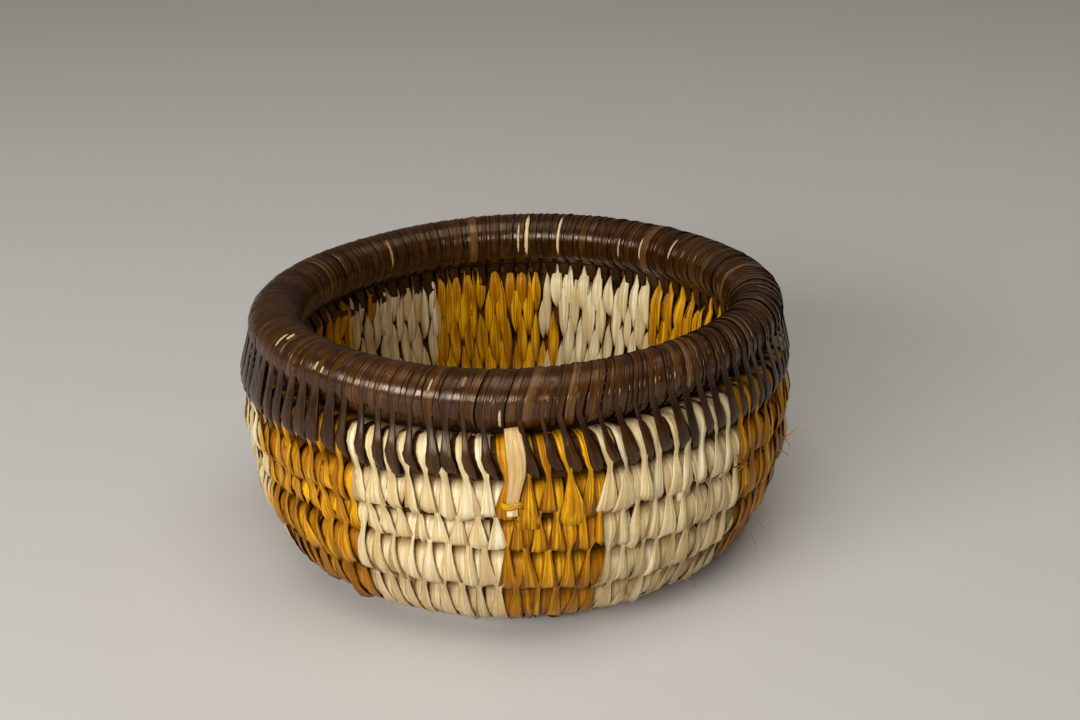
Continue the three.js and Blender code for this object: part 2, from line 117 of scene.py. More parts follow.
bowlAxis = (np.array(knotLow) + np.array(knotHigh)) / 2 / mm * [1, 1, 0]  # the base's middle
columnEnds = bowl["seamAngle"] + fullTurn * np.concatenate(
    [[0], np.cumsum(bowl["columnWidths"]) / np.sum(bowl["columnWidths"])])


def wallProfile(arc):
    # By arc length from the edge of the flat: a flat, a tight bend, a gentle bend and a straight.
    arc = np.asarray(arc, float)
    tight, sweep = bowl["cornerRadius"], bowl["cornerSweep"]
    gentle, upright = bowl["bellyRadius"], bowl["wallLean"]
    corner = np.clip(arc / tight, 0, sweep)
    lean = corner + np.clip((arc - tight * sweep) / gentle, 0, upright - sweep)
    past = np.maximum(arc - tight * sweep - gentle * (upright - sweep), 0)
    r = (flatRadius + np.minimum(arc, 0) + tight * np.sin(corner)
         + gentle * (np.sin(lean) - np.sin(corner)) + past * np.cos(lean))
    z = (baseHeight + tight * (1 - np.cos(corner))
         + gentle * (np.cos(corner) - np.cos(lean)) + past * np.sin(lean))
    return r, z, lean


def turned(r, z, angle):
    # A point at a radius and height, turned by an angle round the axis, from the front towards +X.
    return np.stack(np.broadcast_arrays(r * np.sin(angle), -r * np.cos(angle), z), -1)


def wallPoint(arc, out, angle):
    # Out from the middle line of the wall, square to it.
    r, z, lean = wallProfile(arc)
    return turned(r + out * np.sin(lean), z - out * np.cos(lean), angle)


def turnAt(row, angle):
    # Turns of the coil count from the back: a row has its own number there, and half more in front.
    return row + (angle - np.pi) / fullTurn


def plainCentre(turn):
    # The coil is level at the front and climbs a row at the back.
    return bowl["firstRowArc"] + bowl["coilThickness"] * (
        turn - 0.5 + np.sin(fullTurn * turn) / fullTurn)


topFront = plainCentre(bowl["wallRows"] + 0.5)
topR, topZ, _ = wallProfile(topFront)
rimRadius = topR - bowl["rimInset"]
rimHeight = topZ + np.sqrt((coilRadius + rollRadius + bowl["seatGap"]) ** 2 - bowl["rimInset"] ** 2)


def gainAt(turn):
    # What the coil's radius gains at a turn. The top row takes back what the others gain.
    gains = np.append(bowl["unevenGains"], -np.sum(bowl["unevenGains"]))
    middles = turnAt(np.arange(1, len(gains) + 1), bowl["unevenMiddle"])
    away = (np.asarray(turn, float)[..., None] - middles) * fullTurn
    return (gains * hump(away, 0, bowl["unevenReach"], 4)).sum(-1)


def wholeRadius(turn):
    # The coil's radius before its end thins out.
    return coilRadius + gainAt(turn)


def wholeCentre(turn):
    # Each row lies on the one below, so it moves up by what the rows below it gain.
    below = sum(gainAt(turn - rows) for rows in range(1, bowl["wallRows"] + 1))
    return plainCentre(turn) + 2 * below + gainAt(turn)


def coilRadiusAt(turn):
    # The last turn thins out in the room that the row below leaves under the rim.
    room = topFront + coilRadius - wholeCentre(turn - 1) - wholeRadius(turn - 1)
    tail = np.maximum(room, bowl["tailLeast"]) / 2
    return np.where(turn <= bowl["wallRows"] + 0.5, wholeRadius(turn), tail)


def coilCentre(turn):
    # How far up the wall the middle of a turn is. The thin end lies on the row below.
    tail = wholeCentre(turn - 1) + wholeRadius(turn - 1) + coilRadiusAt(turn)
    return np.where(turn <= bowl["wallRows"] + 0.5, wholeCentre(turn), tail)


def handShape(points):
    # Higher up, the basket leans a little and is less round. Then the bowl's axis is put in place.
    share = points[..., 2] / rimHeight
    angle = np.arctan2(points[..., 0], -points[..., 1])
    oval = bowl["ovalAlong"] * np.cos(2 * angle) + bowl["ovalAcross"] * np.sin(2 * angle)
    stretch = 1 + share * (oval + bowl["squareness"] * np.cos(4 * angle))
    x, y = points[..., 0] * stretch, points[..., 1] * stretch
    rise = share * (np.tan(bowl["tiltRight"]) * x + np.tan(bowl["tiltBack"]) * y)
    return np.stack([x, y, points[..., 2] + rise], -1) + bowlAxis


def smooth(low, high, x):
    # 0 below low, 1 above high, and an S-shaped step between them.
    t = np.clip((x - low) / (high - low), 0, 1)
    return t * t * (3 - 2 * t)


def hump(x, middle, reach, power=2):
    # 1 at the middle, and little is left beyond the reach: e to minus a power of the share of it.
    return np.exp(-((x - middle) / reach) ** power)


def turnedFrom(middle, angle):
    # How far an angle lies from another, the short way round.
    return (angle - middle + np.pi) % fullTurn - np.pi


def unit(vectors):
    # The same directions, all as long as 1.
    return vectors / np.maximum(np.linalg.norm(vectors, axis=-1, keepdims=True), 1e-9)


# Strips of palm leaf
section = {
    "across": np.array([-1, -0.8, 0, 0.8, 1]),  # places on the face of a strip
    "dome": 0.34,  # a strip is this much thicker in the middle
    "under": 0.35,  # its back lies this far below its edges
    "fibreSpread": 2.6,  # half a strip's width as the fibres count it
    "edgeFrom": 0.75,  # painted shade: a strip darkens from here to its edge
    "floorGap": 0.5,  # lower than this, points ease off above the floor
}


def layStrips(path, side, halfWidth, lift=0.0, dome=1.0, pleat=0.0, tilt=0.0, roll=0.0, places=None):
    # Strips as rings of points. Each station's section is carried along the path: its face is
    # domed by one minus the square of the place across, with pleats, and it leans by a tilt.
    # The arrays are strips by stations, and the path and side have x, y and z too.
    along = unit(np.gradient(path, axis=1))
    up = unit(np.cross(along, side))
    across = np.cross(up, along)
    roll = np.asarray(roll, float)[..., None]
    across, up = (across * np.cos(roll) + up * np.sin(roll), up * np.cos(roll) - across * np.sin(roll))
    places = section["across"] if places is None else places
    count, stations = path.shape[:2]

    def grid(value):
        return np.broadcast_to(value, (count, stations))[..., None]

    height = (grid(lift) + section["dome"] * grid(dome) * (1 - places ** 2) + grid(tilt) * places
              + grid(pleat) * dice.normal(0, 1, (count, 1, len(places))))
    sideways = grid(halfWidth) * places
    face = (path[:, :, None] + across[:, :, None] * sideways[..., None]
            + up[:, :, None] * height[..., None])
    back = path + up * (grid(lift) - section["under"])
    return np.concatenate([face, back[:, :, None]], 2)


def stripMesh(name, batches, materials):
    # One object from batches of strips. A batch has its rings of points, and for each strip a
    # tone, a material's place and whatever painted shade it has along it. Fibres run along the
    # strip. The last point of a ring is the strip's back, whose faces are flat, so the edges stay
    # crisp. Near the floor, a height falls towards nought by a power of e and never reaches it.
    points, totals, corners, indices, softFaces = [], [], [], [], []
    fibre, tint = [], []
    base = 0
    for batch in batches:
        rings = handShape(batch["rings"])
        if batch.get("aboveFloor"):
            gap, height = section["floorGap"], rings[..., 2]
            rings[..., 2] = np.where(height < gap, gap * np.exp(np.minimum(height - gap, 0) / gap), height)
        count, stations, size = rings.shape[:3]
        number = base + np.arange(count * stations * size).reshape(count, stations, size)
        nextAround = np.roll(number, -1, 2)
        quads = np.stack([number[:, :-1], nextAround[:, :-1], nextAround[:, 1:], number[:, 1:]], -1)
        volume = np.einsum("ksmi,ksmi->k", rings[:, :-1] - rings.mean((1, 2), keepdims=True),
                           np.cross(np.roll(rings, -1, 2)[:, :-1] - rings[:, :-1],
                                    rings[:, 1:] - rings[:, :-1]))
        turnBack = volume < 0
        quads[turnBack] = quads[turnBack][..., ::-1]
        caps = np.stack([number[:, 0, ::-1], number[:, -1]], 1)
        caps[turnBack] = caps[turnBack][..., ::-1]
        perStrip = (stations - 1) * size
        order = [quads.reshape(count, -1), caps.reshape(count, -1)]
        corners.append(np.concatenate(order, 1).ravel())
        sizes = np.tile(np.concatenate([np.full(perStrip, 4), np.full(2, size)]), count)
        totals.append(sizes)
        indices.append(np.repeat(np.broadcast_to(batch.get("material", 0), count), perStrip + 2))
        soft = np.tile(np.arange(size) < (size if batch.get("tube") else size - 2), stations - 1)
        softFaces.append(np.tile(np.append(soft, [False, False]), count))
        points.append(rings.reshape(-1, 3))
        middle = rings[:, :, size // 2]
        length = np.cumsum(np.linalg.norm(np.diff(middle, axis=1, prepend=middle[:, :1]), axis=2), 1)
        across = batch.get("places", section["across"])
        places = np.append(across, 0) * section["fibreSpread"]
        seed = dice.uniform(0, 100, count)
        fibre.append(np.stack(np.broadcast_arrays(
            places, length[..., None], seed[:, None, None]), -1).reshape(-1, 3))
        tone = np.broadcast_to(batch.get("tone", 0.5), count)[:, None, None]
        shade = np.broadcast_to(batch.get("shade", 0.0), (count, stations))[..., None]
        # The tone, the painted shade along the strip and the painted shade at its edges go into one
        # attribute.
        edge = smooth(section["edgeFrom"], 1, np.append(np.abs(across), 1))
        tint.append(np.stack(np.broadcast_arrays(tone, shade, edge, 1.0), -1).reshape(-1, 4))
        base += count * stations * size
    points, corners, sizes = np.concatenate(points), np.concatenate(corners), np.concatenate(totals)
    mesh = bpy.data.meshes.new(name)
    mesh.vertices.add(len(points))
    mesh.vertices.foreach_set("co", (points * mm).ravel())
    mesh.loops.add(len(corners))
    mesh.loops.foreach_set("vertex_index", corners.astype(np.int32))
    mesh.polygons.add(len(sizes))
    mesh.polygons.foreach_set("loop_start", (np.cumsum(sizes) - sizes).astype(np.int32))
    mesh.polygons.foreach_set("material_index", np.concatenate(indices).astype(np.int32))
    mesh.polygons.foreach_set("use_smooth", np.concatenate(softFaces))
    mesh.update(calc_edges=True)
    mesh.attributes.new("fibre", "FLOAT_VECTOR", "POINT").data.foreach_set(
        "vector", np.concatenate(fibre).ravel())
    mesh.attributes.new("tint", "FLOAT_COLOR", "POINT").data.foreach_set(
        "color", np.concatenate(tint).ravel())
    for material in materials:
        mesh.materials.append(material)
    piece = bpy.data.objects.new(name, mesh)
    bpy.context.scene.collection.objects.link(piece)
    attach(piece, "root")
    return piece


# Finishes
def makeMaterial(name):
    # An empty material, and its nodes.
    material = bpy.data.materials.new(name)
    material.use_nodes = True
    material.node_tree.nodes.clear()
    return material, material.node_tree


def addNode(tree, kind, settings=None, **inputs):
    # A node with its settings, and its inputs by name: a value, or another node's socket.
    node = tree.nodes.new(kind)
    for key, value in (settings or {}).items():
        setattr(node, key, value)
    for key, value in inputs.items():
        socket = node.inputs[int(key[1:]) if key[0] == "i" and key[1:].isdigit() else key.replace("_", " ")]
        if isinstance(value, bpy.types.NodeSocket):
            tree.links.new(value, socket)
        else:
            socket.default_value = value
    return node


def finishMaterial(tree, shader):
    # Joins the shader to the material's output.
    output = addNode(tree, "ShaderNodeOutputMaterial")
    tree.links.new(shader.outputs[0], output.inputs["Surface"])


# What all the leaf finishes share. Levels are where a pattern begins and ends to show.
leaf = {
    "broad": 0.3, "along": 0.03,  # streaks across and along, against the fibres of the finish
    "blotch": (0.35, 0.28), "seedStep": 3.7, "detail": 3.0, "broadDetail": 2.0, "grain": 0.6,
    "toneLevels": (0.0, 1.0), "blotchLevels": (0.5, 0.75), "broadLevels": (0.4, 0.6),
    "fineLevels": (0.38, 0.6), "edgeLevels": (0.1, 1.1), "roughLevels": (0.25, 0.75),
    "rougher": 0.1, "smoother": 0.06, "broadBump": 1.2,
}


def leafMaterial(name, look):
    # Split palm leaf. Fine streaks run along the strip, and each strip has its own tone. Painted
    # shade darkens its edges and its ends in the grooves, towards the finish's groove colour.
    material, tree = makeMaterial(name)
    fibre = addNode(tree, "ShaderNodeAttribute", {"attribute_name": "fibre"}).outputs["Vector"]
    tint = addNode(tree, "ShaderNodeAttribute", {"attribute_name": "tint"}).outputs["Color"]
    tone, shade, edge = addNode(tree, "ShaderNodeSeparateColor", Color=tint).outputs

    def streaks(across, along, detail):
        scale = (across, along, leaf["seedStep"])
        place = addNode(tree, "ShaderNodeMapping", Vector=fibre, Scale=scale).outputs[0]
        return addNode(tree, "ShaderNodeTexNoise", Vector=place, Scale=1.0, Detail=detail,
                       Roughness=leaf["grain"]).outputs[0]

    def ramp(value, levels, first, last):
        # From the first number to the last, in a smooth step between two levels of a value.
        return addNode(tree, "ShaderNodeMapRange", {"interpolation_type": "SMOOTHSTEP"},
                       Value=value, From_Min=levels[0], From_Max=levels[1],
                       To_Min=first, To_Max=last).outputs[0]

    def mix(share, under, over):
        return addNode(tree, "ShaderNodeMix", {"data_type": "RGBA"}, i0=share, i6=under,
                       i7=(*look[over], 1)).outputs[2]

    across, along = look["fibres"], look["fibres"] * leaf["along"]
    fine = streaks(across, along, leaf["detail"])
    broad = streaks(across * leaf["broad"], along, leaf["broadDetail"])
    blotch = streaks(*leaf["blotch"], leaf["detail"])
    colour = mix(ramp(tone, leaf["toneLevels"], 0.0, 1.0), (*look["deep"], 1), "light")
    colour = mix(ramp(blotch, leaf["blotchLevels"], 0.0, look["blotch"]), colour, "pale")
    colour = mix(ramp(broad, leaf["broadLevels"], look["broadDepth"], 0.0), colour, "streak")
    colour = mix(ramp(fine, leaf["fineLevels"], look["fineDepth"], 0.0), colour, "streak")
    # Painted shade along the strip's edges, towards the groove colour.
    colour = mix(ramp(edge, leaf["edgeLevels"], 0.0, look["edgeShade"]), colour, "groove")
    # Painted shade wherever the strip's shade says, towards the groove colour.
    colour = mix(shade, colour, "groove")
    rough = ramp(fine, leaf["roughLevels"], look["roughness"] + leaf["rougher"],
                 look["roughness"] - leaf["smoother"])
    height = addNode(tree, "ShaderNodeMath", {"operation": "MULTIPLY_ADD"},
                     i0=broad, i1=leaf["broadBump"], i2=fine).outputs[0]
    bump = addNode(tree, "ShaderNodeBump", Strength=1.0, Distance=look["bump"] * mm, Height=height)
    shader = addNode(tree, "ShaderNodeBsdfPrincipled", Base_Color=colour, Roughness=rough,
                     Normal=bump.outputs[0], Specular_IOR_Level=look["specular"],
                     Specular_Tint=(*look["gloss"], 1))
    finishMaterial(tree, shader)
    return material


# In each finish, groove is the colour that painted shade darkens towards.
looks = {
    "cream": {
        "light": (0.80, 0.70, 0.46), "deep": (0.68, 0.56, 0.32), "streak": (0.52, 0.36, 0.14),
        "pale": (0.87, 0.80, 0.61), "groove": (0.26, 0.13, 0.025), "fibres": 1.5,
        "fineDepth": 0.9, "broadDepth": 0.55, "blotch": 0.5, "edgeShade": 0.65, "roughness": 0.38,
        "bump": 0.3, "specular": 0.4, "gloss": (1, 0.95, 0.85),
    },
    "yellow": {
        "light": (0.80, 0.41, 0.004), "deep": (0.53, 0.215, 0.001), "streak": (0.24, 0.070, 0.001),
        "pale": (0.74, 0.44, 0.05), "groove": (0.06, 0.013, 0.001), "fibres": 1.5,
        "fineDepth": 0.85, "broadDepth": 0.6, "blotch": 0.3, "edgeShade": 0.8, "roughness": 0.34,
        "bump": 0.3, "specular": 0.35, "gloss": (1, 0.75, 0.3),
    },
    "brown": {
        "light": (0.090, 0.032, 0.004), "deep": (0.036, 0.010, 0.001), "streak": (0.014, 0.004, 0.001),
        "pale": (0.18, 0.09, 0.030), "groove": (0.004, 0.001, 0.001), "fibres": 1.2,
        "fineDepth": 0.7, "broadDepth": 0.5, "blotch": 0.35, "edgeShade": 0.95, "roughness": 0.17,
        "bump": 0.2, "specular": 0.6, "gloss": (1, 0.82, 0.62),
    },
    "worn": {
        "light": (0.17, 0.082, 0.026), "deep": (0.11, 0.048, 0.013), "streak": (0.07, 0.028, 0.007),
        "pale": (0.30, 0.18, 0.08), "groove": (0.02, 0.007, 0.002), "fibres": 1.1,
        "fineDepth": 0.6, "broadDepth": 0.6, "blotch": 0.4, "edgeShade": 0.8, "roughness": 0.2,
        "bump": 0.13, "specular": 0.5, "gloss": (1, 0.85, 0.65),
    },
    "tan": {
        "light": (0.42, 0.24, 0.085), "deep": (0.28, 0.14, 0.045), "streak": (0.17, 0.08, 0.02),
        "pale": (0.52, 0.36, 0.18), "groove": (0.08, 0.035, 0.010), "fibres": 1.9,
        "fineDepth": 0.6, "broadDepth": 0.4, "blotch": 0.4, "edgeShade": 0.4, "roughness": 0.4,
        "bump": 0.2, "specular": 0.35, "gloss": (1, 0.9, 0.75),
    },
    "splice": {
        "light": (0.66, 0.46, 0.19), "deep": (0.58, 0.38, 0.14), "streak": (0.42, 0.25, 0.09),
        "pale": (0.72, 0.56, 0.30), "groove": (0.20, 0.10, 0.02), "fibres": 3.2,
        "fineDepth": 0.7, "broadDepth": 0.4, "blotch": 0.3, "edgeShade": 0.4, "roughness": 0.34,
        "bump": 0.2, "specular": 0.4, "gloss": (1, 0.9, 0.75),
    },
    "core": {
        "light": (0.24, 0.10, 0.018), "deep": (0.12, 0.045, 0.007), "streak": (0.05, 0.016, 0.003),
        "pale": (0.34, 0.16, 0.035), "groove": (0.010, 0.003, 0.001), "fibres": 1.6,
        "fineDepth": 0.7, "broadDepth": 0.6, "blotch": 0.4, "edgeShade": 0.0, "roughness": 0.7,
        "bump": 0.22, "specular": 0.12, "gloss": (1, 0.9, 0.75),
    },
}
looks["finger"] = dict(looks["brown"], specular=0.36, roughness=0.22)  # less glossy than the roll
finish = {name: leafMaterial(name + "Leaf", look) for name, look in looks.items()}
print("finishes made")


# The foundation coil and the bundle in the rim, which show in the gaps between stitches
core = {
    "share": 0.8,  # of the coil's thickness, without its stitches
    "around": 12, "stepsPerTurn": 120, "rimSteps": 220, "ripple": 0.0216,
    "tail": 0.36,  # the coil ends this part of a turn past the seam
    "between": 1.9,  # radius of the loose fibres in the grooves
    "underWrap": 0.85, "joint": 0.001,
    "seatRadius": 2.0, "seatInset": 2.7,
    # painted shade: the coil's bundle is darkened, and the rim's bundles made almost black, where they show
    # deep between the strips
    "tone": 0.3, "coilShade": 0.3, "rimShade": 0.9,
}


def tubeBatch(path, out, radius):
    # A tube: at each station, a circle in the plane of the two directions out and square to it.
    around = np.linspace(0, fullTurn, core["around"], endpoint=False)
    along = unit(np.gradient(path, axis=1))
    other = unit(np.cross(along, out))
    out = np.cross(other, along)
    wave = radius[..., None] * (1 + core["ripple"] * dice.normal(0, 1, (1, path.shape[1], len(around))))
    return (path[:, :, None] + out[:, :, None] * (wave * np.cos(around))[..., None]
            + other[:, :, None] * (wave * np.sin(around))[..., None])


def tubePiece(name, node, tubes, shade):
    # Bundles of fibre as one piece, darkened all along by a painted shade. Their fibres are counted round
    # the tube.
    across = np.linspace(-1, 1, core["around"] - 1)
    batches = [{"rings": tube, "tone": core["tone"], "aboveFloor": True, "places": across,
                "shade": shade, "tube": True} for tube in tubes]
    piece = stripMesh(name, batches, [finish["core"]])
    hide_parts(node)


def foundationCoil():
    # A tube along the middle of the coil, turn after turn, from the knot to the thin end.
    first = turnAt(-bowl["baseRows"], bowl["seamAngle"] + fullTurn / 4)
    last = turnAt(bowl["wallRows"] + 1, bowl["seamAngle"]) + core["tail"]
    turn = np.linspace(first, last, int((last - first) * core["stepsPerTurn"]))
    angle = np.pi + fullTurn * turn
    arc, radius = coilCentre(turn), coilRadiusAt(turn) * core["share"]
    path = wallPoint(arc, 0 * arc, angle)
    outward = unit(wallPoint(arc, 0 * arc + 1, angle) - path)
    tubes = [tubeBatch(path[None], outward[None], radius[None])]
    # Loose fibres of the bundle fill the groove between a turn and the next.
    groove = turn < last - 1
    arc, angle = (coilCentre(turn) + coilRadiusAt(turn))[groove], angle[groove]
    path = wallPoint(arc, 0 * arc, angle)
    outward = unit(wallPoint(arc, 0 * arc + 1, angle) - path)
    tubes.append(tubeBatch(path[None], outward[None], np.full((1, len(arc)), core["between"])))
    tubePiece("foundationCoil", "foundation_coil", tubes, core["coilShade"])


def rimBundle():
    # A ring inside the roll, whose ends meet at the seam.
    angle = bowl["seamAngle"] + np.linspace(core["joint"], fullTurn - core["joint"], core["rimSteps"])
    radius = np.full((1, core["rimSteps"]), rollRadius - core["underWrap"])
    bundle = tubeBatch(turned(rimRadius, rimHeight, angle)[None], unit(turned(1, 0, angle))[None], radius)
    # A second, thin bundle fills the corner between the roll and the top coil. The rim's painted shade
    # makes both almost black, as painted shade in the gaps of the wraps and under the roll.
    share = rollRadius / (rollRadius + coilRadius)
    seat = turned(rimRadius + bowl["rimInset"] * share - core["seatInset"],
                  rimHeight + (topZ - rimHeight) * share, angle)
    radius = np.full((1, core["rimSteps"]), core["seatRadius"])
    seat = tubeBatch(seat[None], unit(turned(1, 0, angle))[None], radius)
    tubePiece("rimBundle", "rim_bundle", [bundle, seat], core["rimShade"])


foundationCoil()
rimBundle()
print("coil and rim bundle made")


# The stitches. A place x along a stitch is the distance down from the middle of its own coil in
# coil radii: 0 is its own coil, 1 the groove, 2 the coil below and 3 the groove under that.
outerStitch = {
    "from": -0.97, "overTop": -1.35, "to": 2.88,
    "steps": np.array([0, 0.05, 0.1, 0.17, 0.26, 0.36, 0.44, 0.51, 0.59, 0.69, 0.79, 0.88, 0.95, 1]),
    "dive": 0.95, "diveFrom": 0.93, "diveBy": 0.45,  # its end turns in under the next row's fans
    "pullIn": 0.8, "pullReach": 0.75,  # how far out a stitch bridges the groove, in coil radii
    "seat": 0.42,  # a strip's back lies this far inside the round coil
    "underRoll": 0.07, "underEnds": (-0.4, -1),  # under the roll the top row is closer to its coil
    "topHalf": 2.85, "topRowHalf": 2.1, "topEnds": (0.85, -0.2),
    "waistHalf": 0.8, "leastHalf": 0.5, "thinCoil": 0.35,
    "fanHalf": 2.85, "fanFrom": 0.95, "fanLong": 1.75, "fanCurve": 0.85, "fanFlatter": 0.21,
    "ownLift": -0.1, "fanLift": 0.4, "liftEnds": (0.9, 2.0),
    "ownDome": 0.6, "fanDome": 1.05, "domeEnds": (1.0, 2.4),
    "lean": 1.35, "leanSoon": 2.5,  # the fans swing this far towards the front
    "swingBelow": 0.75, "belowEnds": (0.8, 2.3), "swingAbove": 0.25, "aboveEnds": (0.9, -0.8),
    "fingerShare": 0.5, "fingerEnd": 0.86, "fingerMost": 1.2,
    "slant": 1.1, "slantMore": 3.0, "slantMiddle": 14 * degree, "slantReach": 26 * degree,
    "unevenWidth": 0.18, "unevenAngle": 0.38, "unevenEnd": 0.19, "unevenLean": 0.75,
    "unevenTilt": 0.15, "pleat": 0.28, "pleatAbove": 0.5, "pleatEnds": (1.2, 2.4),
    "twisted": 0.25, "unevenTwist": 0.9, "twistAt": 0.9, "twistReach": 0.5,  # a quarter twist
    # painted shade at the start under the row above, where the end turns in, and in the groove
    "startShade": 0.75, "startEnds": (0.37, 0.02), "endShade": 0.5,
    "grooveShade": 0.2, "grooveAt": 1.05, "grooveReach": 0.35,
    "lowShade": 0.4, "lowEnds": (36, 4),  # painted shade, darker and browner near the floor
}
innerStitch = {
    "from": -0.62, "to": 3.3, "stations": 12, "thinLonger": 0.9,
    "highest": 3.6,  # no tip lies this far above the top coil's middle
    "pullIn": 0.86, "pullLower": 0.75, "pullReach": 0.8, "seat": 0.42,
    "leafHalf": 1.9, "leastHalf": 0.12, "widest": 0.95, "tip": 1.1, "tipLess": 0.3,
    "wideFrom": 24, "wallWideFrom": 60,  # leaves narrow where the basket is smaller than this
    "lift": -0.2, "liftMore": 0.4, "dome": 1.3, "lean": 0.45, "pleat": 0.16,
    "startIn": 0.35, "startTo": 0.12, "endIn": 0.45, "endFrom": 0.86,
    "unevenWidth": 0.17, "unevenAngle": 0.35, "unevenEnd": 0.25, "unevenTop": 0.4,
    "unevenTilt": 0.12,
    # painted shade at both ends of a leaf, where it goes in between the coils
    "startShade": 0.3, "shadeTo": 0.15, "endShade": 0.35, "shadeFrom": 0.8,
}


def placeOnCoils(x, row, angle):
    # The arc and the coil's radius at a place x of a stitch of this row.
    turn = turnAt(row, angle)
    own, below = coilRadiusAt(turn), coilRadiusAt(turn - 1)
    arc = np.where(x < 1, coilCentre(turn) - x * own, coilCentre(turn - 1) + (2 - x) * below)
    return arc, own + (below - own) * smooth(0.6, 1.4, x)


def topSurface(arc, angle):
    # How far the two top rows reach from the middle of the wall, at an arc: the root of the
    # radius squared less the height squared, and never less than in the groove between them.
    reach = 0 * arc + 0 * angle
    for row in (bowl["wallRows"], bowl["wallRows"] + 1):
        turn = turnAt(row, angle)
        reach = np.maximum(reach, coilRadiusAt(turn) ** 2 - (arc - coilCentre(turn)) ** 2)
    return np.maximum(np.sqrt(reach), bowl["grooveReach"] * coilRadius)


def sideAt(angle):
    # Along the basket, level, the way the angle grows.
    return np.stack([np.cos(angle), np.sin(angle), 0 * angle], -1)


def roundCoil(x, flatter=0.0):
    # How far out a coil reaches beside its middle: a power of the cosine, close to the root of
    # one minus x squared. Where it is flatter, what lies on the coil below keeps further out.
    return np.abs(np.cos(np.pi * x / 2)) ** (0.415 - flatter * smooth(1.2, 2.4, x))


def fingerLean(angle):
    # The fingers and the top row's stitches slant to the right on their way down, most of all
    # a little to the right of the front.
    look = outerStitch
    away = turnedFrom(look["slantMiddle"], angle)
    return look["slant"] + look["slantMore"] * hump(away, 0, look["slantReach"])


def outerBatch(row, angle, material, tone):
    # Outside, a stitch is wide over its own coil, narrow where it bridges the groove, and fans
    # out over the coil below, where it ends in a blunt edge. On the top coil it starts on the
    # far side.
    look, count = outerStitch, (len(angle), 1)
    row, place = np.asarray(row)[:, None], angle[:, None]
    onTop = coilRadiusAt(turnAt(row, place) + 1) <= bowl["tailLeast"]
    first = np.where(onTop, look["overTop"], look["from"])
    end = look["to"] + dice.normal(0, look["unevenEnd"], count)
    share = look["steps"][None]
    x = first + (end - first) * np.minimum(share / look["dive"], 1)
    folded, side = np.where(x < -1, -2 - x, x), np.where(x < -1, -1, 1)

    lean = dice.normal(0, look["unevenLean"], count)
    lean = lean - look["lean"] * np.tanh(look["leanSoon"] * np.sin(place))
    swing = lean * (look["swingBelow"] * smooth(*look["belowEnds"], x)
                    - look["swingAbove"] * smooth(*look["aboveEnds"], x))
    underFinger = np.clip((look["fingerEnd"] - x) / (1 + look["fingerEnd"]), 0, look["fingerMost"])
    swing = swing - look["fingerShare"] * fingerLean(place) * onTop * underFinger
    swing = swing + dice.normal(0, look["unevenAngle"], count)

    closer = 1 - look["underRoll"] * onTop * smooth(*look["underEnds"], x)
    arc, radius = placeOnCoils(folded * closer, row, place)
    pull = look["pullIn"] * hump(x, 1, look["pullReach"])
    out = side * (radius * (pull + (1 - pull) * roundCoil(folded, look["fanFlatter"])) - look["seat"])
    out = out * (1 - look["diveBy"] * smooth(look["diveFrom"], 1, share))
    reach = wallProfile(arc)[0] + out
    path = wallPoint(arc, out, place + swing / reach)

    uneven = 1 + dice.normal(0, look["unevenWidth"], (3, *count))
    waist, fan = look["waistHalf"], look["fanHalf"] * uneven[2]
    top = np.where(onTop, look["topRowHalf"], look["topHalf"]) * uneven[1]
    opened = np.clip((x - look["fanFrom"]) / look["fanLong"], 0, 1) ** look["fanCurve"]
    half = waist * uneven[0] + (top - waist) * smooth(*look["topEnds"], x) + (fan - waist) * opened
    half = np.maximum(half, look["leastHalf"]) * np.minimum(radius / coilRadius + look["thinCoil"], 1)
    twisted = dice.uniform(0, 1, count) < look["twisted"]
    twist = np.where(twisted, dice.normal(0, look["unevenTwist"], count), 0)
    rings = layStrips(
        path, sideAt(place + 0 * x), half,
        lift=look["ownLift"] + (look["fanLift"] - look["ownLift"]) * smooth(*look["liftEnds"], x),
        dome=look["ownDome"] + (look["fanDome"] - look["ownDome"]) * smooth(*look["domeEnds"], x),
        pleat=look["pleat"] * (look["pleatAbove"] + smooth(*look["pleatEnds"], x)),
        tilt=dice.normal(0, look["unevenTilt"], count),
        roll=twist * hump(x, look["twistAt"], look["twistReach"]))
    # Painted shade under the row above, where the end turns in, in the groove and near the floor.
    shadeFrom, shadeTo = look["startEnds"]
    shade = (look["startShade"] * smooth(first + shadeFrom, first + shadeTo, x)
             + look["endShade"] * smooth(look["diveFrom"], 1, share)
             + look["grooveShade"] * hump(x, look["grooveAt"], look["grooveReach"])
             + look["lowShade"] * smooth(*look["lowEnds"], path[..., 2]))
    return {"rings": rings, "material": material, "tone": tone, "shade": shade, "aboveFloor": True}


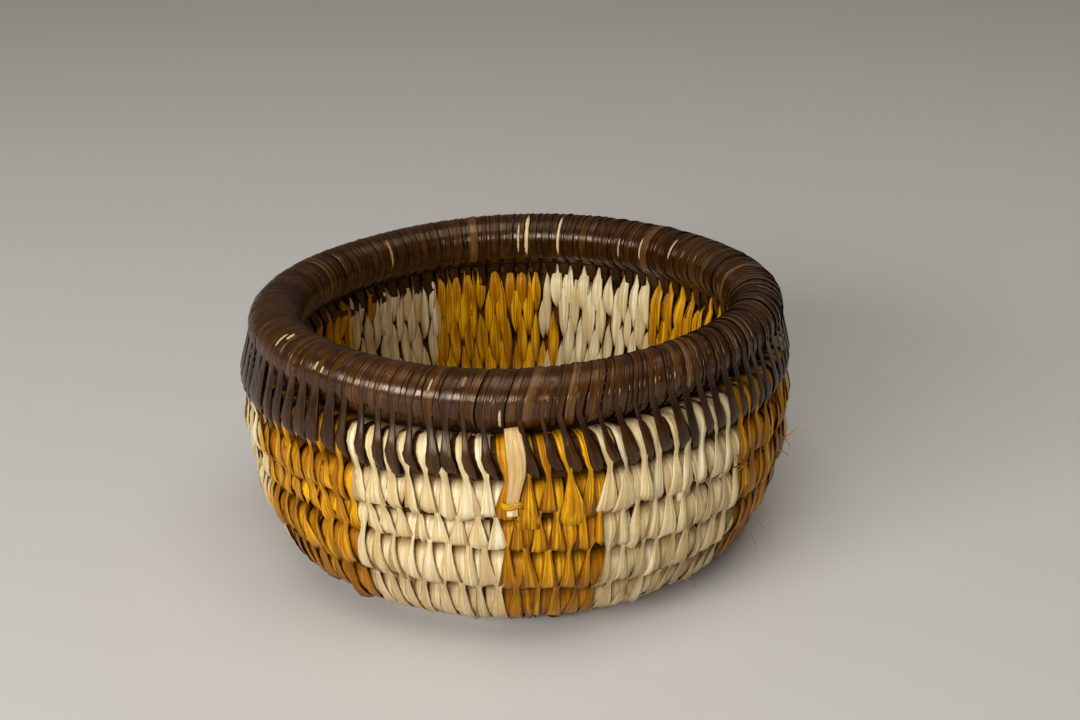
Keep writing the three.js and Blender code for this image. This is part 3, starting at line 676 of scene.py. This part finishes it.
def innerBatch(row, angle, material, tone):
    # Inside, a stitch is a leaf: pointed on its own coil, widest near the groove below it, and
    # pointed again two coils down. Its width is a power of the sine of the way down it.
    look, count = innerStitch, (len(angle), 1)
    share = np.linspace(0, 1, look["stations"])[None]
    row, place = np.asarray(row)[:, None], angle[:, None]
    turn = turnAt(row, place)
    own = coilRadiusAt(turn)
    uneven = look["unevenEnd"] + look["unevenTop"] * (turn > bowl["wallRows"] - 0.6)
    first = look["from"] + dice.normal(0, 1, count) * uneven
    last = look["to"] + dice.normal(0, look["unevenEnd"], count)
    last = last + look["thinLonger"] * (1 - own / coilRadius)
    first = np.maximum(first, (coilCentre(turn) - topFront - look["highest"]) / own)
    x = first + (last - first) * share

    arc, radius = placeOnCoils(x, row, place)
    pull = (look["pullIn"] * hump(x, 1, look["pullReach"])
            + look["pullLower"] * hump(x, 3, look["pullReach"]))
    out = radius * (pull + (1 - pull) * roundCoil(x)) - look["seat"]
    out = out * (1 - look["startIn"] * smooth(look["startTo"], 0.0, share)
                 - look["endIn"] * smooth(look["endFrom"], 1, share))
    reach = wallProfile(arc)[0] - out

    down = (arc[:, :1] - arc) / (arc[:, :1] - arc[:, -1:])
    half = np.sin(np.pi * down ** look["widest"]) ** (look["tip"] - look["tipLess"] * down)
    half = look["leafHalf"] * (1 + dice.normal(0, look["unevenWidth"], count)) * half + look["leastHalf"]
    half = half * np.minimum(reach / np.where(row > 0, look["wallWideFrom"], look["wideFrom"]), 1)
    swing = (dice.normal(0, look["unevenAngle"], count)
             + look["lean"] * dice.normal(0, 1, count) * (share - 0.5))
    rings = layStrips(wallPoint(arc, -out, place + swing / reach), -sideAt(place + 0 * x), half,
                      lift=look["lift"] + look["liftMore"] * share, dome=look["dome"],
                      pleat=look["pleat"], tilt=dice.normal(0, look["unevenTilt"], count))
    # Painted shade at the leaf's two ends.
    shade = (look["startShade"] * smooth(look["shadeTo"], 0.0, share)
             + look["endShade"] * smooth(look["shadeFrom"], 1.0, share))
    return {"rings": rings, "material": material, "tone": tone, "shade": shade}


def columnPlaces(i, rows):
    # A stitch for each row and each pitch of a column. The rows are half a pitch out of step.
    first, last = columnEnds[i], columnEnds[i + 1]
    count = int(round((last - first) / bowl["stitchAngle"]))
    pitch = (last - first) / count
    place = first + pitch * (np.arange(count)[None] + 0.5 * (np.asarray(rows)[:, None] % 2 == 0))
    return np.repeat(rows, count), place.ravel()


columnLook = {
    # painted light: inside, the wall's stitches get a lighter tone, for the light that falls into the
    # basket
    "colours": ["yellow", "cream"], "tone": 0.55, "toneUneven": 0.3, "paintedInsideLight": 0.3,
    "stray": 0.025,  # this share of the stitches has the other colour inside
}


def columnStitches():
    # Column by column, every row of stitches outside and inside, apart from the thin coil's.
    for i in range(len(bowl["columnWidths"])):
        colour, other = columnLook["colours"][i % 2], columnLook["colours"][1 - i % 2]
        rows, angle = columnPlaces(i, np.arange(1, bowl["wallRows"] + 2))
        whole = coilRadiusAt(turnAt(rows, angle)) > bowl["tailLeast"]
        rows, angle = rows[whole], angle[whole]
        stray = (dice.uniform(0, 1, len(rows)) < columnLook["stray"]).astype(int)
        tone = np.clip(dice.normal(columnLook["tone"], columnLook["toneUneven"], len(rows)), 0, 1)
        # Painted light: a lighter tone for the stitches inside.
        inside = np.minimum(tone + columnLook["paintedInsideLight"], 1)
        batches = [outerBatch(rows, angle, 0, tone), innerBatch(rows, angle, stray, inside)]
        piece = stripMesh(f"{colour}Stitches{i // 2 + 1}", batches, [finish[colour], finish[other]])
        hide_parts(f"{colour}_stitches_{i // 2 + 1}")


columnStitches()
print("wall stitches made")


# The base: the same stitches, fewer to a turn towards the middle
baseLook = {"sectors": 4, "pitch": 5.3, "tone": 0.5, "toneUneven": 0.25}


def baseStitches():
    # A quarter of the base at a time, a turn after another, each shared out at an even pitch.
    sector = fullTurn / baseLook["sectors"]
    for i in range(baseLook["sectors"]):
        first = bowl["seamAngle"] + sector * i
        rows, angles = [], []
        for row in range(-bowl["baseRows"] + (i == 0), 1):
            radius = wallProfile(coilCentre(turnAt(row, first + sector / 2)))[0]
            count = max(int(round(radius * sector / baseLook["pitch"])), 2)
            rows.append(np.full(count, row))
            angles.append(first + sector / count * (np.arange(count) + 0.5 * (row % 2 == 0)))
        rows, angle = np.concatenate(rows), np.concatenate(angles)
        column = np.searchsorted(columnEnds, angle, side="right") - 1
        dyed = ((rows == 0) & (column % 2 == 0)).astype(int)
        tone = np.clip(dice.normal(baseLook["tone"], baseLook["toneUneven"], len(rows)), 0, 1)
        batches = [outerBatch(rows, angle, dyed, tone), innerBatch(rows, angle, dyed, tone)]
        piece = stripMesh(f"baseStitches{i + 1}", batches, [finish["cream"], finish["yellow"]])
        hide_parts(f"base_stitches_{i + 1}")


baseStitches()
print("base stitches made")


# The wrapping of the rim. Every third turn of strip is a long one. Outside, it leaves the roll
# below its outermost line, crosses to the top coil and ends on it as a dark finger. Inside, it
# comes down over the top coil to a point. Places along it are 0 to 1 on the finger, 1 to 2
# between finger and roll, 2 to 3 on the roll, and 3 to 4 inside.
wrap = {
    "finishes": ["brown", "worn", "cream", "tan", "finger"],
    "toneMiddle": 0.45, "toneWave": 0.2, "toneTurn": 70 * degree, "toneUneven": 0.27,
    "seat": 0.35, "dome": 0.2, "shingle": 0.15, "unevenWidth": 0.15,
    "broadMiddle": -17 * degree, "broadReach": 10 * degree, "broadMore": 0.45,
    "lean": 1.1, "leanTurn": 20 * degree, "leanSteady": 0.55, "upright": 115 * degree,
    # the long strips, where ends are the places between which a thing comes or goes
    "longAcross": np.array([-1, -0.7, 0, 0.7, 1]), "longLift": 0.1, "longPleat": 0.05,
    "places": [0, 0.33, 1, 1.3, 1.62, 2, 2.25, 3, 3.3, 4],
    "halves": [0.8, 1.75, 1.6, 1.1, 0.75, 0.85, 1.5, 1.6, 1.8, 0.3],
    "fingerSteps": [0, 0.2, 0.6, 1], "fingerEnd": 0.86, "fingerLeast": 0.78, "fingerLift": 0.1,
    "landing": 0.2, "tipIn": 1.2, "tipTo": 0.12, "halfShift": 0.5,
    "fingerDome": 1.0, "domeEnds": (1.9, 1.3),
    "bridge": [0.3, 0.62], "tuck": 0.5,
    "leaves": -17.5 * degree, "leavesSide": -6 * degree, "sideStations": 3,
    "comesBack": 227.5 * degree, "rollStations": 15,
    "innerTop": -0.55, "innerEnd": 1.05, "innerStations": 3, "innerFrom": 3.1,
    "innerClear": 0.65, "innerDive": 1.2,
    "sideFrom": 16 * degree, "sideTo": 42 * degree,  # fingers change from the front to the sides
    "leftMore": 0.8, "leftUneven": (0.4, 1.5), "leftEnds": (0.1, 1.0), "rightMore": -0.05,
    "moreEnds": (2.3, 1.5), "climbEnds": (1.9, 2.2), "broadEnds": (3.1, 2.9), "flatEnds": (3.0, 2.8),
    "neckMore": 0.65, "neckAt": 1.65, "neckReach": 0.5,
    "unevenLean": 0.25, "unevenFinger": 0.16, "unevenLanding": 0.4, "unevenInner": 0.3,
    "unevenPoint": 0.5, "unevenTilt": 0.04,
    # painted shade at the finger's tip, inside the rim, at the neck under the roll, and on the finger, more
    # at the sides
    "tipShade": 0.3, "tipEnds": (0.2, 0.0), "insideShade": 0.35, "insideEnds": (2.75, 3.1),
    "neckShade": 0.3, "shadeAt": 1.6, "shadeReach": 0.35,
    "fingerShade": 0.28, "sideShade": 0.12, "fingerEnds": (2.15, 1.85),
    # the plain strips, whose stations lie on the long ones', so that edges meet
    "across": np.array([-1, -0.75, 0.75, 1]), "plainHalf": 1.34, "plainPleat": 0.04,
    "plainFrom": -105 * degree, "plainTo": 262.5 * degree, "plainStations": 22,
    "plainUneven": 0.28, "plainLift": 0.05, "plainPlace": 0.3, "plainTilt": 0.05,
    # worn strips, by degrees round the rim
    "worn": [192.7, 224.4, 250, 5, 14, 27, 40.2, 46.5, 60, 100, 113.7, 137], "wornLift": 0.25,
    "wornReach": 0.2, "spliceRoom": 0.6,  # in pitches of the long strips
    # pale marks: degrees round the rim, from and to in degrees on the roll, half width, finish
    "marks": [
        (176.5, 100, 216, 0.7, "cream"), (166.3, 104, 214, 0.5, "cream"),
        (179.2, 128, 205, 0.35, "cream"), (222.2, 118, 190, 0.45, "tan"),
        (42.8, 35, 80, 0.3, "tan"), (301.2, 35, 68, 0.3, "cream"), (302.2, 58, 76, 0.2, "cream"),
        (316.2, 26, 44, 0.25, "cream"), (318.0, 24, 38, 0.2, "cream"),
        (343.7, 30, 56, 0.25, "cream"), (350.5, 44, 66, 0.5, "tan"), (359.2, -40, 2, 0.4, "cream"),
        (128.0, 120, 175, 0.4, "cream"), (139.0, 140, 195, 0.4, "cream"),
        (147.0, 150, 200, 0.35, "cream"),
    ],
    "markTaper": np.array([[0.3, 0.85, 1, 0.8, 1.05, 0.9, 1, 0.7, 0.2]]),
    "markTone": 0.6, "markLift": 0.36,
}


def rollPoint(theta, reach, angle):
    # On the roll, by the direction from its middle line: 0 is outward and 90 degrees is up.
    return turned(rimRadius + reach * np.cos(theta), rimHeight + reach * np.sin(theta), angle)


def rimShift(angle, theta):
    # How far along the rim a strip lies from its place. It is askew on the roll, more on the
    # right-hand side, and on the way down outside it follows the slant of the fingers.
    steady = wrap["leanSteady"]
    askew = wrap["lean"] * (steady + (1 - steady) * np.sin(angle - wrap["leanTurn"])) * np.cos(theta)
    return -askew - fingerLean(angle) * (1 - smooth(wrap["leaves"], wrap["upright"], theta))


def broad(angle):
    # At the left of the front the strips are broader.
    return 1 + wrap["broadMore"] * hump(turnedFrom(wrap["broadMiddle"], angle), 0, wrap["broadReach"], 4)


def longWraps(angle, material, tone):
    # From the end of the outer finger up the coil, straight to the roll, over it and down to the
    # inner point. The finger keeps to the coil's round, the root of one minus x squared, and the
    # width follows the halves at the places given above.
    look, count = wrap, (len(angle), 1)
    place = angle[:, None]
    turn = turnAt(bowl["wallRows"], place)
    radius = coilRadiusAt(turn)
    aside = smooth(np.cos(look["sideFrom"]), np.cos(look["sideTo"]), np.cos(place))
    skew = dice.normal(0, look["unevenLean"], count)

    steps = np.array([look["fingerSteps"]])
    x = look["fingerEnd"] + dice.normal(0, look["unevenFinger"], count)
    x = x - (x + look["landing"]) * steps
    out = radius * np.maximum(np.sqrt(1 - np.clip(x, -1, 1) ** 2), look["fingerLeast"])
    out = out + look["fingerLift"] - look["tipIn"] * smooth(look["tipTo"], 0.0, steps)
    shift = look["halfShift"] * rimShift(place, look["leaves"])
    slide = skew + (shift + dice.normal(0, look["unevenLanding"], count)) * steps
    finger = wallPoint(coilCentre(turn) - x * radius, out, place + slide / topR)

    theta = np.linspace(look["leaves"], look["comesBack"], look["rollStations"])[None]
    early = np.clip(1 - np.arange(look["rollStations"]) / look["sideStations"], 0, 1)
    theta = theta + (look["leavesSide"] - look["leaves"]) * aside * early
    onRoll = rollPoint(theta, rollRadius - look["seat"] + look["longLift"],
                       place + (skew + rimShift(place, theta)) / rimRadius)
    steps = np.array(look["bridge"])[None, :, None]
    bridge = finger[:, -1:] + (onRoll[:, :1] - finger[:, -1:]) * steps
    bridge = bridge - turned(look["tuck"] * (1 - aside), 0, place)

    steps = np.linspace(0, 1, look["innerStations"])[None]
    x = look["innerEnd"] + dice.normal(0, look["unevenInner"], count) - look["innerTop"]
    arc = topFront - (look["innerTop"] + x * steps) * coilRadius
    out = -topSurface(arc, place) - look["innerClear"] + look["innerDive"] * steps ** 2
    slide = skew + dice.normal(0, look["unevenPoint"], count) * steps
    inner = wallPoint(arc, out, place + slide / topR)

    path = np.concatenate([finger, bridge, onRoll, inner], 1)
    share = np.concatenate([look["fingerSteps"], 1 + np.array(look["bridge"]),
                            np.linspace(2, 3, look["rollStations"]),
                            look["innerFrom"] + (4 - look["innerFrom"]) * steps[0]])
    climbs = smooth(*look["climbEnds"], share)
    half = np.interp(share, look["places"], look["halves"])[None]
    half = half * (1 + dice.normal(0, look["unevenWidth"], count))
    half = half * (1 + (broad(place) - 1) * climbs * smooth(*look["broadEnds"], share))
    left = look["leftMore"] * dice.uniform(*look["leftUneven"], count) * smooth(*look["leftEnds"], share)
    more = np.where(np.sin(place) < 0, left, look["rightMore"])
    half = half * (1 + more * aside * smooth(*look["moreEnds"], share))
    half = half + look["neckMore"] * aside * hump(share, look["neckAt"], look["neckReach"])
    tilt = look["shingle"] * climbs * smooth(*look["flatEnds"], share)
    tilt = tilt + dice.normal(0, look["unevenTilt"], count)
    rings = layStrips(path, -sideAt(place + 0 * share), half, pleat=look["longPleat"], tilt=tilt,
                      dome=look["dome"] + look["fingerDome"] * smooth(*look["domeEnds"], share),
                      places=look["longAcross"])
    # Painted shade at the tip, inside, at the neck and on the finger.
    shade = (look["tipShade"] * smooth(*look["tipEnds"], share)
             + look["insideShade"] * smooth(*look["insideEnds"], share)
             + look["neckShade"] * hump(share, look["shadeAt"], look["shadeReach"])
             + (look["fingerShade"] + look["sideShade"] * aside) * smooth(*look["fingerEnds"], share))
    return {"rings": rings, "material": material, "tone": tone, "shade": shade,
            "places": look["longAcross"]}


def plainWraps(angle, material, tone, lift=0.0, half=None, theta=None):
    # One turn of strip round the roll, or a short length of it: a circle about the roll's middle
    # line, askew by the cosine of the way round.
    look, count = wrap, (len(angle), 1)
    if theta is None:
        theta = np.linspace(look["plainFrom"], look["plainTo"], look["plainStations"])[None]
    slide = dice.normal(0, look["plainPlace"], count) + rimShift(angle[:, None], theta)
    place = angle[:, None] + slide / rimRadius
    lift = lift + dice.normal(0, look["plainLift"], count)
    path = rollPoint(theta, rollRadius - look["seat"] + lift, place)
    if half is None:
        half = look["plainHalf"] * (1 + dice.normal(0, look["plainUneven"], count)) * broad(angle[:, None])
    tilt = look["shingle"] + dice.normal(0, look["plainTilt"], count)
    rings = layStrips(path, -sideAt(place), half + 0 * theta, dome=look["dome"],
                      pleat=look["plainPleat"], tilt=tilt, places=look["across"])
    return {"rings": rings, "material": material, "tone": tone, "places": look["across"]}


def rimWraps():
    # A length of wrapping for each column below it: a long strip at each of the column's
    # stitches, two plain ones between, and then the worn strips and pale marks that lie there.
    look, kinds = wrap, wrap["finishes"]
    worn = np.array(look["worn"]) * degree
    for i in range(len(bowl["columnWidths"])):
        _, longAngle = columnPlaces(i, np.array([bowl["wallRows"] + 1]))
        pitch = longAngle[1] - longAngle[0]
        away = np.abs(turnedFrom(bowl["spliceAngle"], longAngle))
        spliced = away < look["spliceRoom"] * pitch  # no finger lies there
        plainAngle = np.concatenate([longAngle - pitch / 3, longAngle - 2 * pitch / 3, longAngle[spliced]])
        longAngle = longAngle[~spliced]
        angles = np.concatenate([longAngle, plainAngle])
        tones = look["toneMiddle"] + look["toneWave"] * np.sin(angles + look["toneTurn"])
        tones = np.clip(tones + dice.normal(0, look["toneUneven"], len(angles)), 0, 1)
        longTones, plainTones = np.split(tones, [len(longAngle)])
        isWorn = np.abs(turnedFrom(worn, plainAngle[:, None])).min(1) < look["wornReach"] * pitch
        plainKinds = np.where(isWorn, kinds.index("worn"), kinds.index("brown"))
        batches = [longWraps(longAngle, kinds.index("finger"), longTones),
                   plainWraps(plainAngle, plainKinds, plainTones, look["wornLift"] * isWorn[:, None])]
        for middle, first, last, half, kind in look["marks"]:
            place = middle * degree + fullTurn * (middle * degree < columnEnds[0])
            if columnEnds[i] <= place < columnEnds[i + 1]:
                taper = half * look["markTaper"]
                theta = np.linspace(first, last, taper.shape[1])[None] * degree
                batches.append(plainWraps(np.array([place]), kinds.index(kind), look["markTone"],
                                          look["markLift"], taper, theta))
        piece = stripMesh(f"rimWrap{i + 1}", batches, [finish[kind] for kind in kinds])
        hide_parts(f"rim_wrap_{i + 1}")


rimWraps()
print("rim wrapped")


# The wrapped button in the middle of the base: strips laid over it from side to side
button = {
    "strips": 9, "stations": 13, "height": 11.9, "seat": 0.35, "foot": 0.6, "clear": 1.1,
    "boxy": 0.5, "flatTop": 0.3, "overlap": 0.012,
    "half": 1.5, "halfOnTop": 0.55, "dome": 0.6, "tones": (0.2, 0.8),
}


def startKnot():
    # Each strip is half an oval: down one side of the button, over its top and down the other.
    # Its reach is a power of the sine of the way over, and its height a power of the cosine.
    look = button
    angle = np.linspace(0, np.pi, look["strips"], endpoint=False)[:, None]
    sweep = np.linspace(-np.pi / 2, np.pi / 2, look["stations"])[None]
    reach = np.sign(np.sin(sweep)) * np.abs(np.sin(sweep)) ** look["boxy"]
    reach = (bowl["knotRadius"] - look["seat"]) * reach
    z = look["foot"] + (look["height"] - look["clear"]) * np.abs(np.cos(sweep)) ** look["flatTop"]
    z = z + look["overlap"] * np.arange(look["strips"])[:, None]
    path = np.stack([reach * np.cos(angle), reach * np.sin(angle), z], -1)
    side = np.stack([-np.sin(angle), np.cos(angle), 0 * angle], -1) + 0 * path
    half = look["half"] * (look["halfOnTop"] + (1 - look["halfOnTop"]) * np.abs(np.sin(sweep)))
    rings = layStrips(path, -side, half, dome=look["dome"])
    tone = dice.uniform(*look["tones"], look["strips"])
    piece = stripMesh("startKnot", [{"rings": rings, "tone": tone}], [finish["cream"]])
    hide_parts("start_knot")


startKnot()
print("button made")


# A length of tan strip in front, where a new one was let in. A thread is tied round its end,
# and a cream stub looks out below.
splice = {
    "up": [8.4, 5.6, 2.0, -3.0, -7.5, -12.2],  # places of the strip above the top coil's middle
    "out": [2.4, 4.9, 6.5, 6.7, 6.3, 6.7], "aside": [-0.5, -0.1, 0.5, 0.7, 0.0, -0.7],
    "half": [2.3, 2.5, 2.7, 2.5, 2.0, 1.7], "stations": 14, "dome": 0.5, "pleat": 0.04, "tone": 0.9,
    "endAside": -0.6,
    "bandArc": 52.6, "bandReach": 2.8, "bandHalf": 0.95, "bandLift": 0.95, "bandEnds": 0.9,
    "bandWave": 0.3, "bandWaves": 4, "bandStations": 9, "bandDome": 0.6, "bandPleat": 0.15,
    "stubArc": [52.2, 49.6], "stubHalf": 1.6, "stubLift": 0.55, "stubStations": 7,
    "stubPleat": 0.08,
}


def spliceStrip():
    # The strip follows a smooth line through its places, from under the roll down. The thread
    # crosses it in a shallow wave, whose ends turn in by the fourth power of the way across.
    look, middle = splice, fullTurn + bowl["spliceAngle"]
    steps, marks = np.linspace(0, 1, look["stations"]), np.linspace(0, 1, len(look["up"]))
    arc = topFront + np.interp(steps, marks, look["up"])
    angle = middle + np.interp(steps, marks, look["aside"]) / topR
    path = wallPoint(arc, np.interp(steps, marks, look["out"]), angle)
    path[1:-1] = (path[:-2] + 2 * path[1:-1] + path[2:]) / 4
    strip = layStrips(path[None], sideAt(angle)[None], np.interp(steps, marks, look["half"])[None],
                      dome=look["dome"], pleat=look["pleat"])

    across = np.linspace(-1, 1, look["bandStations"])
    angle = middle + (across * look["bandReach"] + look["endAside"]) / topR
    arc = look["bandArc"] + look["bandWave"] * np.sin(look["bandWaves"] * across)
    path = wallPoint(arc, coilRadius + look["bandLift"] - look["bandEnds"] * across ** 4, angle)
    upward = unit(wallPoint(arc + 1, coilRadius, angle) - wallPoint(arc, coilRadius, angle))
    band = layStrips(path[None], upward[None], look["bandHalf"],
                     dome=look["bandDome"], pleat=look["bandPleat"])

    arc = np.linspace(*look["stubArc"], look["stubStations"])
    angle = middle + look["endAside"] / topR + 0 * arc
    path = wallPoint(arc, coilRadius + look["stubLift"], angle)
    stub = layStrips(path[None], sideAt(angle)[None], look["stubHalf"],
                     dome=look["dome"], pleat=look["stubPleat"])
    batches = [{"rings": rings, "tone": look["tone"], "material": kind}
               for kind, rings in enumerate([strip, band, stub])]
    piece = stripMesh("spliceStrip", batches, [finish["splice"], finish["yellow"], finish["cream"]])


# Loose strands: a frayed knot, an end that sticks out on the right, and stray hairs
strands = {
    "knotAngle": 50.5 * degree, "knotArc": 49.5, "knotStrands": 9, "knotStations": 6,
    "knotLength": 2.6, "knotUneven": 0.3, "knotFlat": 0.8, "knotLift": 0.9, "knotRise": 1.1,
    "knotBend": 0.7, "knotHalf": 0.55, "knotThins": 0.3, "knotDome": 0.6, "knotTone": 0.7,
    "endAngle": 79 * degree, "endArc": 40.5, "endHalf": 0.7, "endThins": 0.5, "endSunk": 0.5,
    "endOut": 6.5, "endUp": 7.0, "endBend": 1.4, "endDome": 0.5, "endSide": [0.3, 0.4, 1.0],
    # a hair: degrees round the basket, arc of its root, and how far it goes along and up
    "hairs": [(70, 43, 8, -6), (72, 46, 6, -8), (62, 27, 9, -9), (60, 25, 7, -12),
              (40, 18, 5, -5), (-14, 47, 1.5, 3)],
    "hairHalf": 0.07, "hairSunk": 0.2, "hairOut": 2.5, "hairBend": 0.8, "hairDome": 0.15,
    "hairThick": 0.1, "hairSide": [0.2, 0.3, 1.0], "stations": 9, "tone": 0.8,
}


def looseStrands():
    # The strands of the knot spread from one place, rise by half a sine and fall back to the
    # wall. The end goes straight out and rises by a power of the way. A hair leaves along a
    # straight line, and bends out and back by a part of a sine.
    look, count = strands, (strands["knotStrands"], 1)
    steps = np.linspace(0, 1, look["knotStations"])[None]
    aim = np.linspace(0, fullTurn, look["knotStrands"], endpoint=False)[:, None]
    aim = aim + dice.normal(0, look["knotUneven"], count)
    reach = look["knotLength"] * steps * (1 + dice.normal(0, look["knotUneven"], count))
    angle = look["knotAngle"] + reach * np.cos(aim) / topR
    arc = look["knotArc"] + reach * np.sin(aim) * look["knotFlat"]
    rise = look["knotLift"] + look["knotRise"] * np.sin(np.pi * steps ** look["knotBend"])
    path = wallPoint(arc, coilRadius + rise, angle)
    half = look["knotHalf"] - look["knotThins"] * steps
    knot = layStrips(path, sideAt(angle), half, dome=look["knotDome"])

    upward = np.array([0, 0, 1.0])
    steps = np.linspace(0, 1, look["stations"])
    out = coilRadius - look["endSunk"] + look["endOut"] * steps
    path = wallPoint(look["endArc"] + 0 * steps, out, look["endAngle"])
    path = (path + upward * (look["endUp"] * steps ** look["endBend"])[:, None])[None]
    half = look["endHalf"] * (1 - look["endThins"] * steps)
    end = layStrips(path, look["endSide"] + 0 * path, half[None], dome=look["endDome"])

    batches = [{"rings": knot, "tone": look["knotTone"]},
               {"rings": end, "tone": look["tone"], "material": 1}]
    ends = np.array([-1, 1])
    for place, arc, along, rise in look["hairs"]:
        angle = place * degree
        line = sideAt(np.array(angle)) * along + upward * rise
        bend = look["hairOut"] * np.sin(np.pi * steps * look["hairBend"])
        path = (wallPoint(arc, coilRadius - look["hairSunk"], angle) + line * steps[:, None]
                + turned(1, 0, angle) * bend[:, None])[None]
        hair = layStrips(path, look["hairSide"] + 0 * path, look["hairHalf"],
                         dome=look["hairDome"], places=ends)
        hair[:, :, 2:] = (hair[:, :, :1] + hair[:, :, 1:2]) / 2 - look["hairThick"]
        batches.append({"rings": hair, "tone": look["tone"], "material": 1, "places": ends})
    piece = stripMesh("looseStrands", batches, [finish["yellow"], finish["cream"]])


spliceStrip()
looseStrands()
print("loose ends made")


# The plain pale floor and the light, in metres and watts
studio = {
    "floorColour": (0.56, 0.55, 0.535, 1), "floorRoughness": 0.8, "floorSize": 6.0,
    "world": 0.12, "worldColour": (1, 0.92, 0.80, 1),
    "lamps": {
        "key": {"place": (-0.60, -0.95, 0.50), "wide": 1.1, "high": 0.36, "power": 17.0,
                "colour": (1, 0.99, 0.97)},
        "top": {"place": (0.10, -0.30, 1.6), "wide": 1.5, "high": 1.2, "power": 13.0,
                "colour": (1, 0.95, 0.87)},
    },
    "aim": (0.0, 0.0, 0.05),
}


def makeFloor():
    # One square face at the height of nought.
    half = studio["floorSize"] / 2
    mesh = bpy.data.meshes.new("floor")
    corners = [(-half, -half, 0), (half, -half, 0), (half, half, 0), (-half, half, 0)]
    mesh.from_pydata(corners, [], [(0, 1, 2, 3)])
    floor = bpy.data.objects.new("floor", mesh)
    bpy.context.scene.collection.objects.link(floor)
    material, tree = makeMaterial("paleFloor")
    finishMaterial(tree, addNode(tree, "ShaderNodeBsdfPrincipled", Base_Color=studio["floorColour"],
                                 Roughness=studio["floorRoughness"]))
    mesh.materials.append(material)


def makeLamp(name, look):
    # A lamp as wide and high as a window, turned to the basket. The camera doesn't see it.
    data = bpy.data.lights.new(name + "Lamp", "AREA")
    data.shape, data.size, data.size_y = "RECTANGLE", look["wide"], look["high"]
    data.energy, data.color = look["power"], look["colour"]
    lamp = bpy.data.objects.new(name + "Lamp", data)
    bpy.context.scene.collection.objects.link(lamp)
    lamp.visible_camera = False
    lamp.location = look["place"]
    aim = Vector(studio["aim"]) - Vector(look["place"])
    lamp.rotation_euler = aim.to_track_quat("-Z", "Y").to_euler()


def makeLight():
    # A weak light from all round, and the lamps.
    world = bpy.data.worlds.new("studioWorld")
    world.use_nodes = True
    background = world.node_tree.nodes["Background"]
    background.inputs[0].default_value = studio["worldColour"]
    background.inputs[1].default_value = studio["world"]
    bpy.context.scene.world = world
    for name, look in studio["lamps"].items():
        makeLamp(name, look)


makeFloor()
makeLight()
bpy.context.scene.view_settings.view_transform = "Standard"
print("floor and light made")
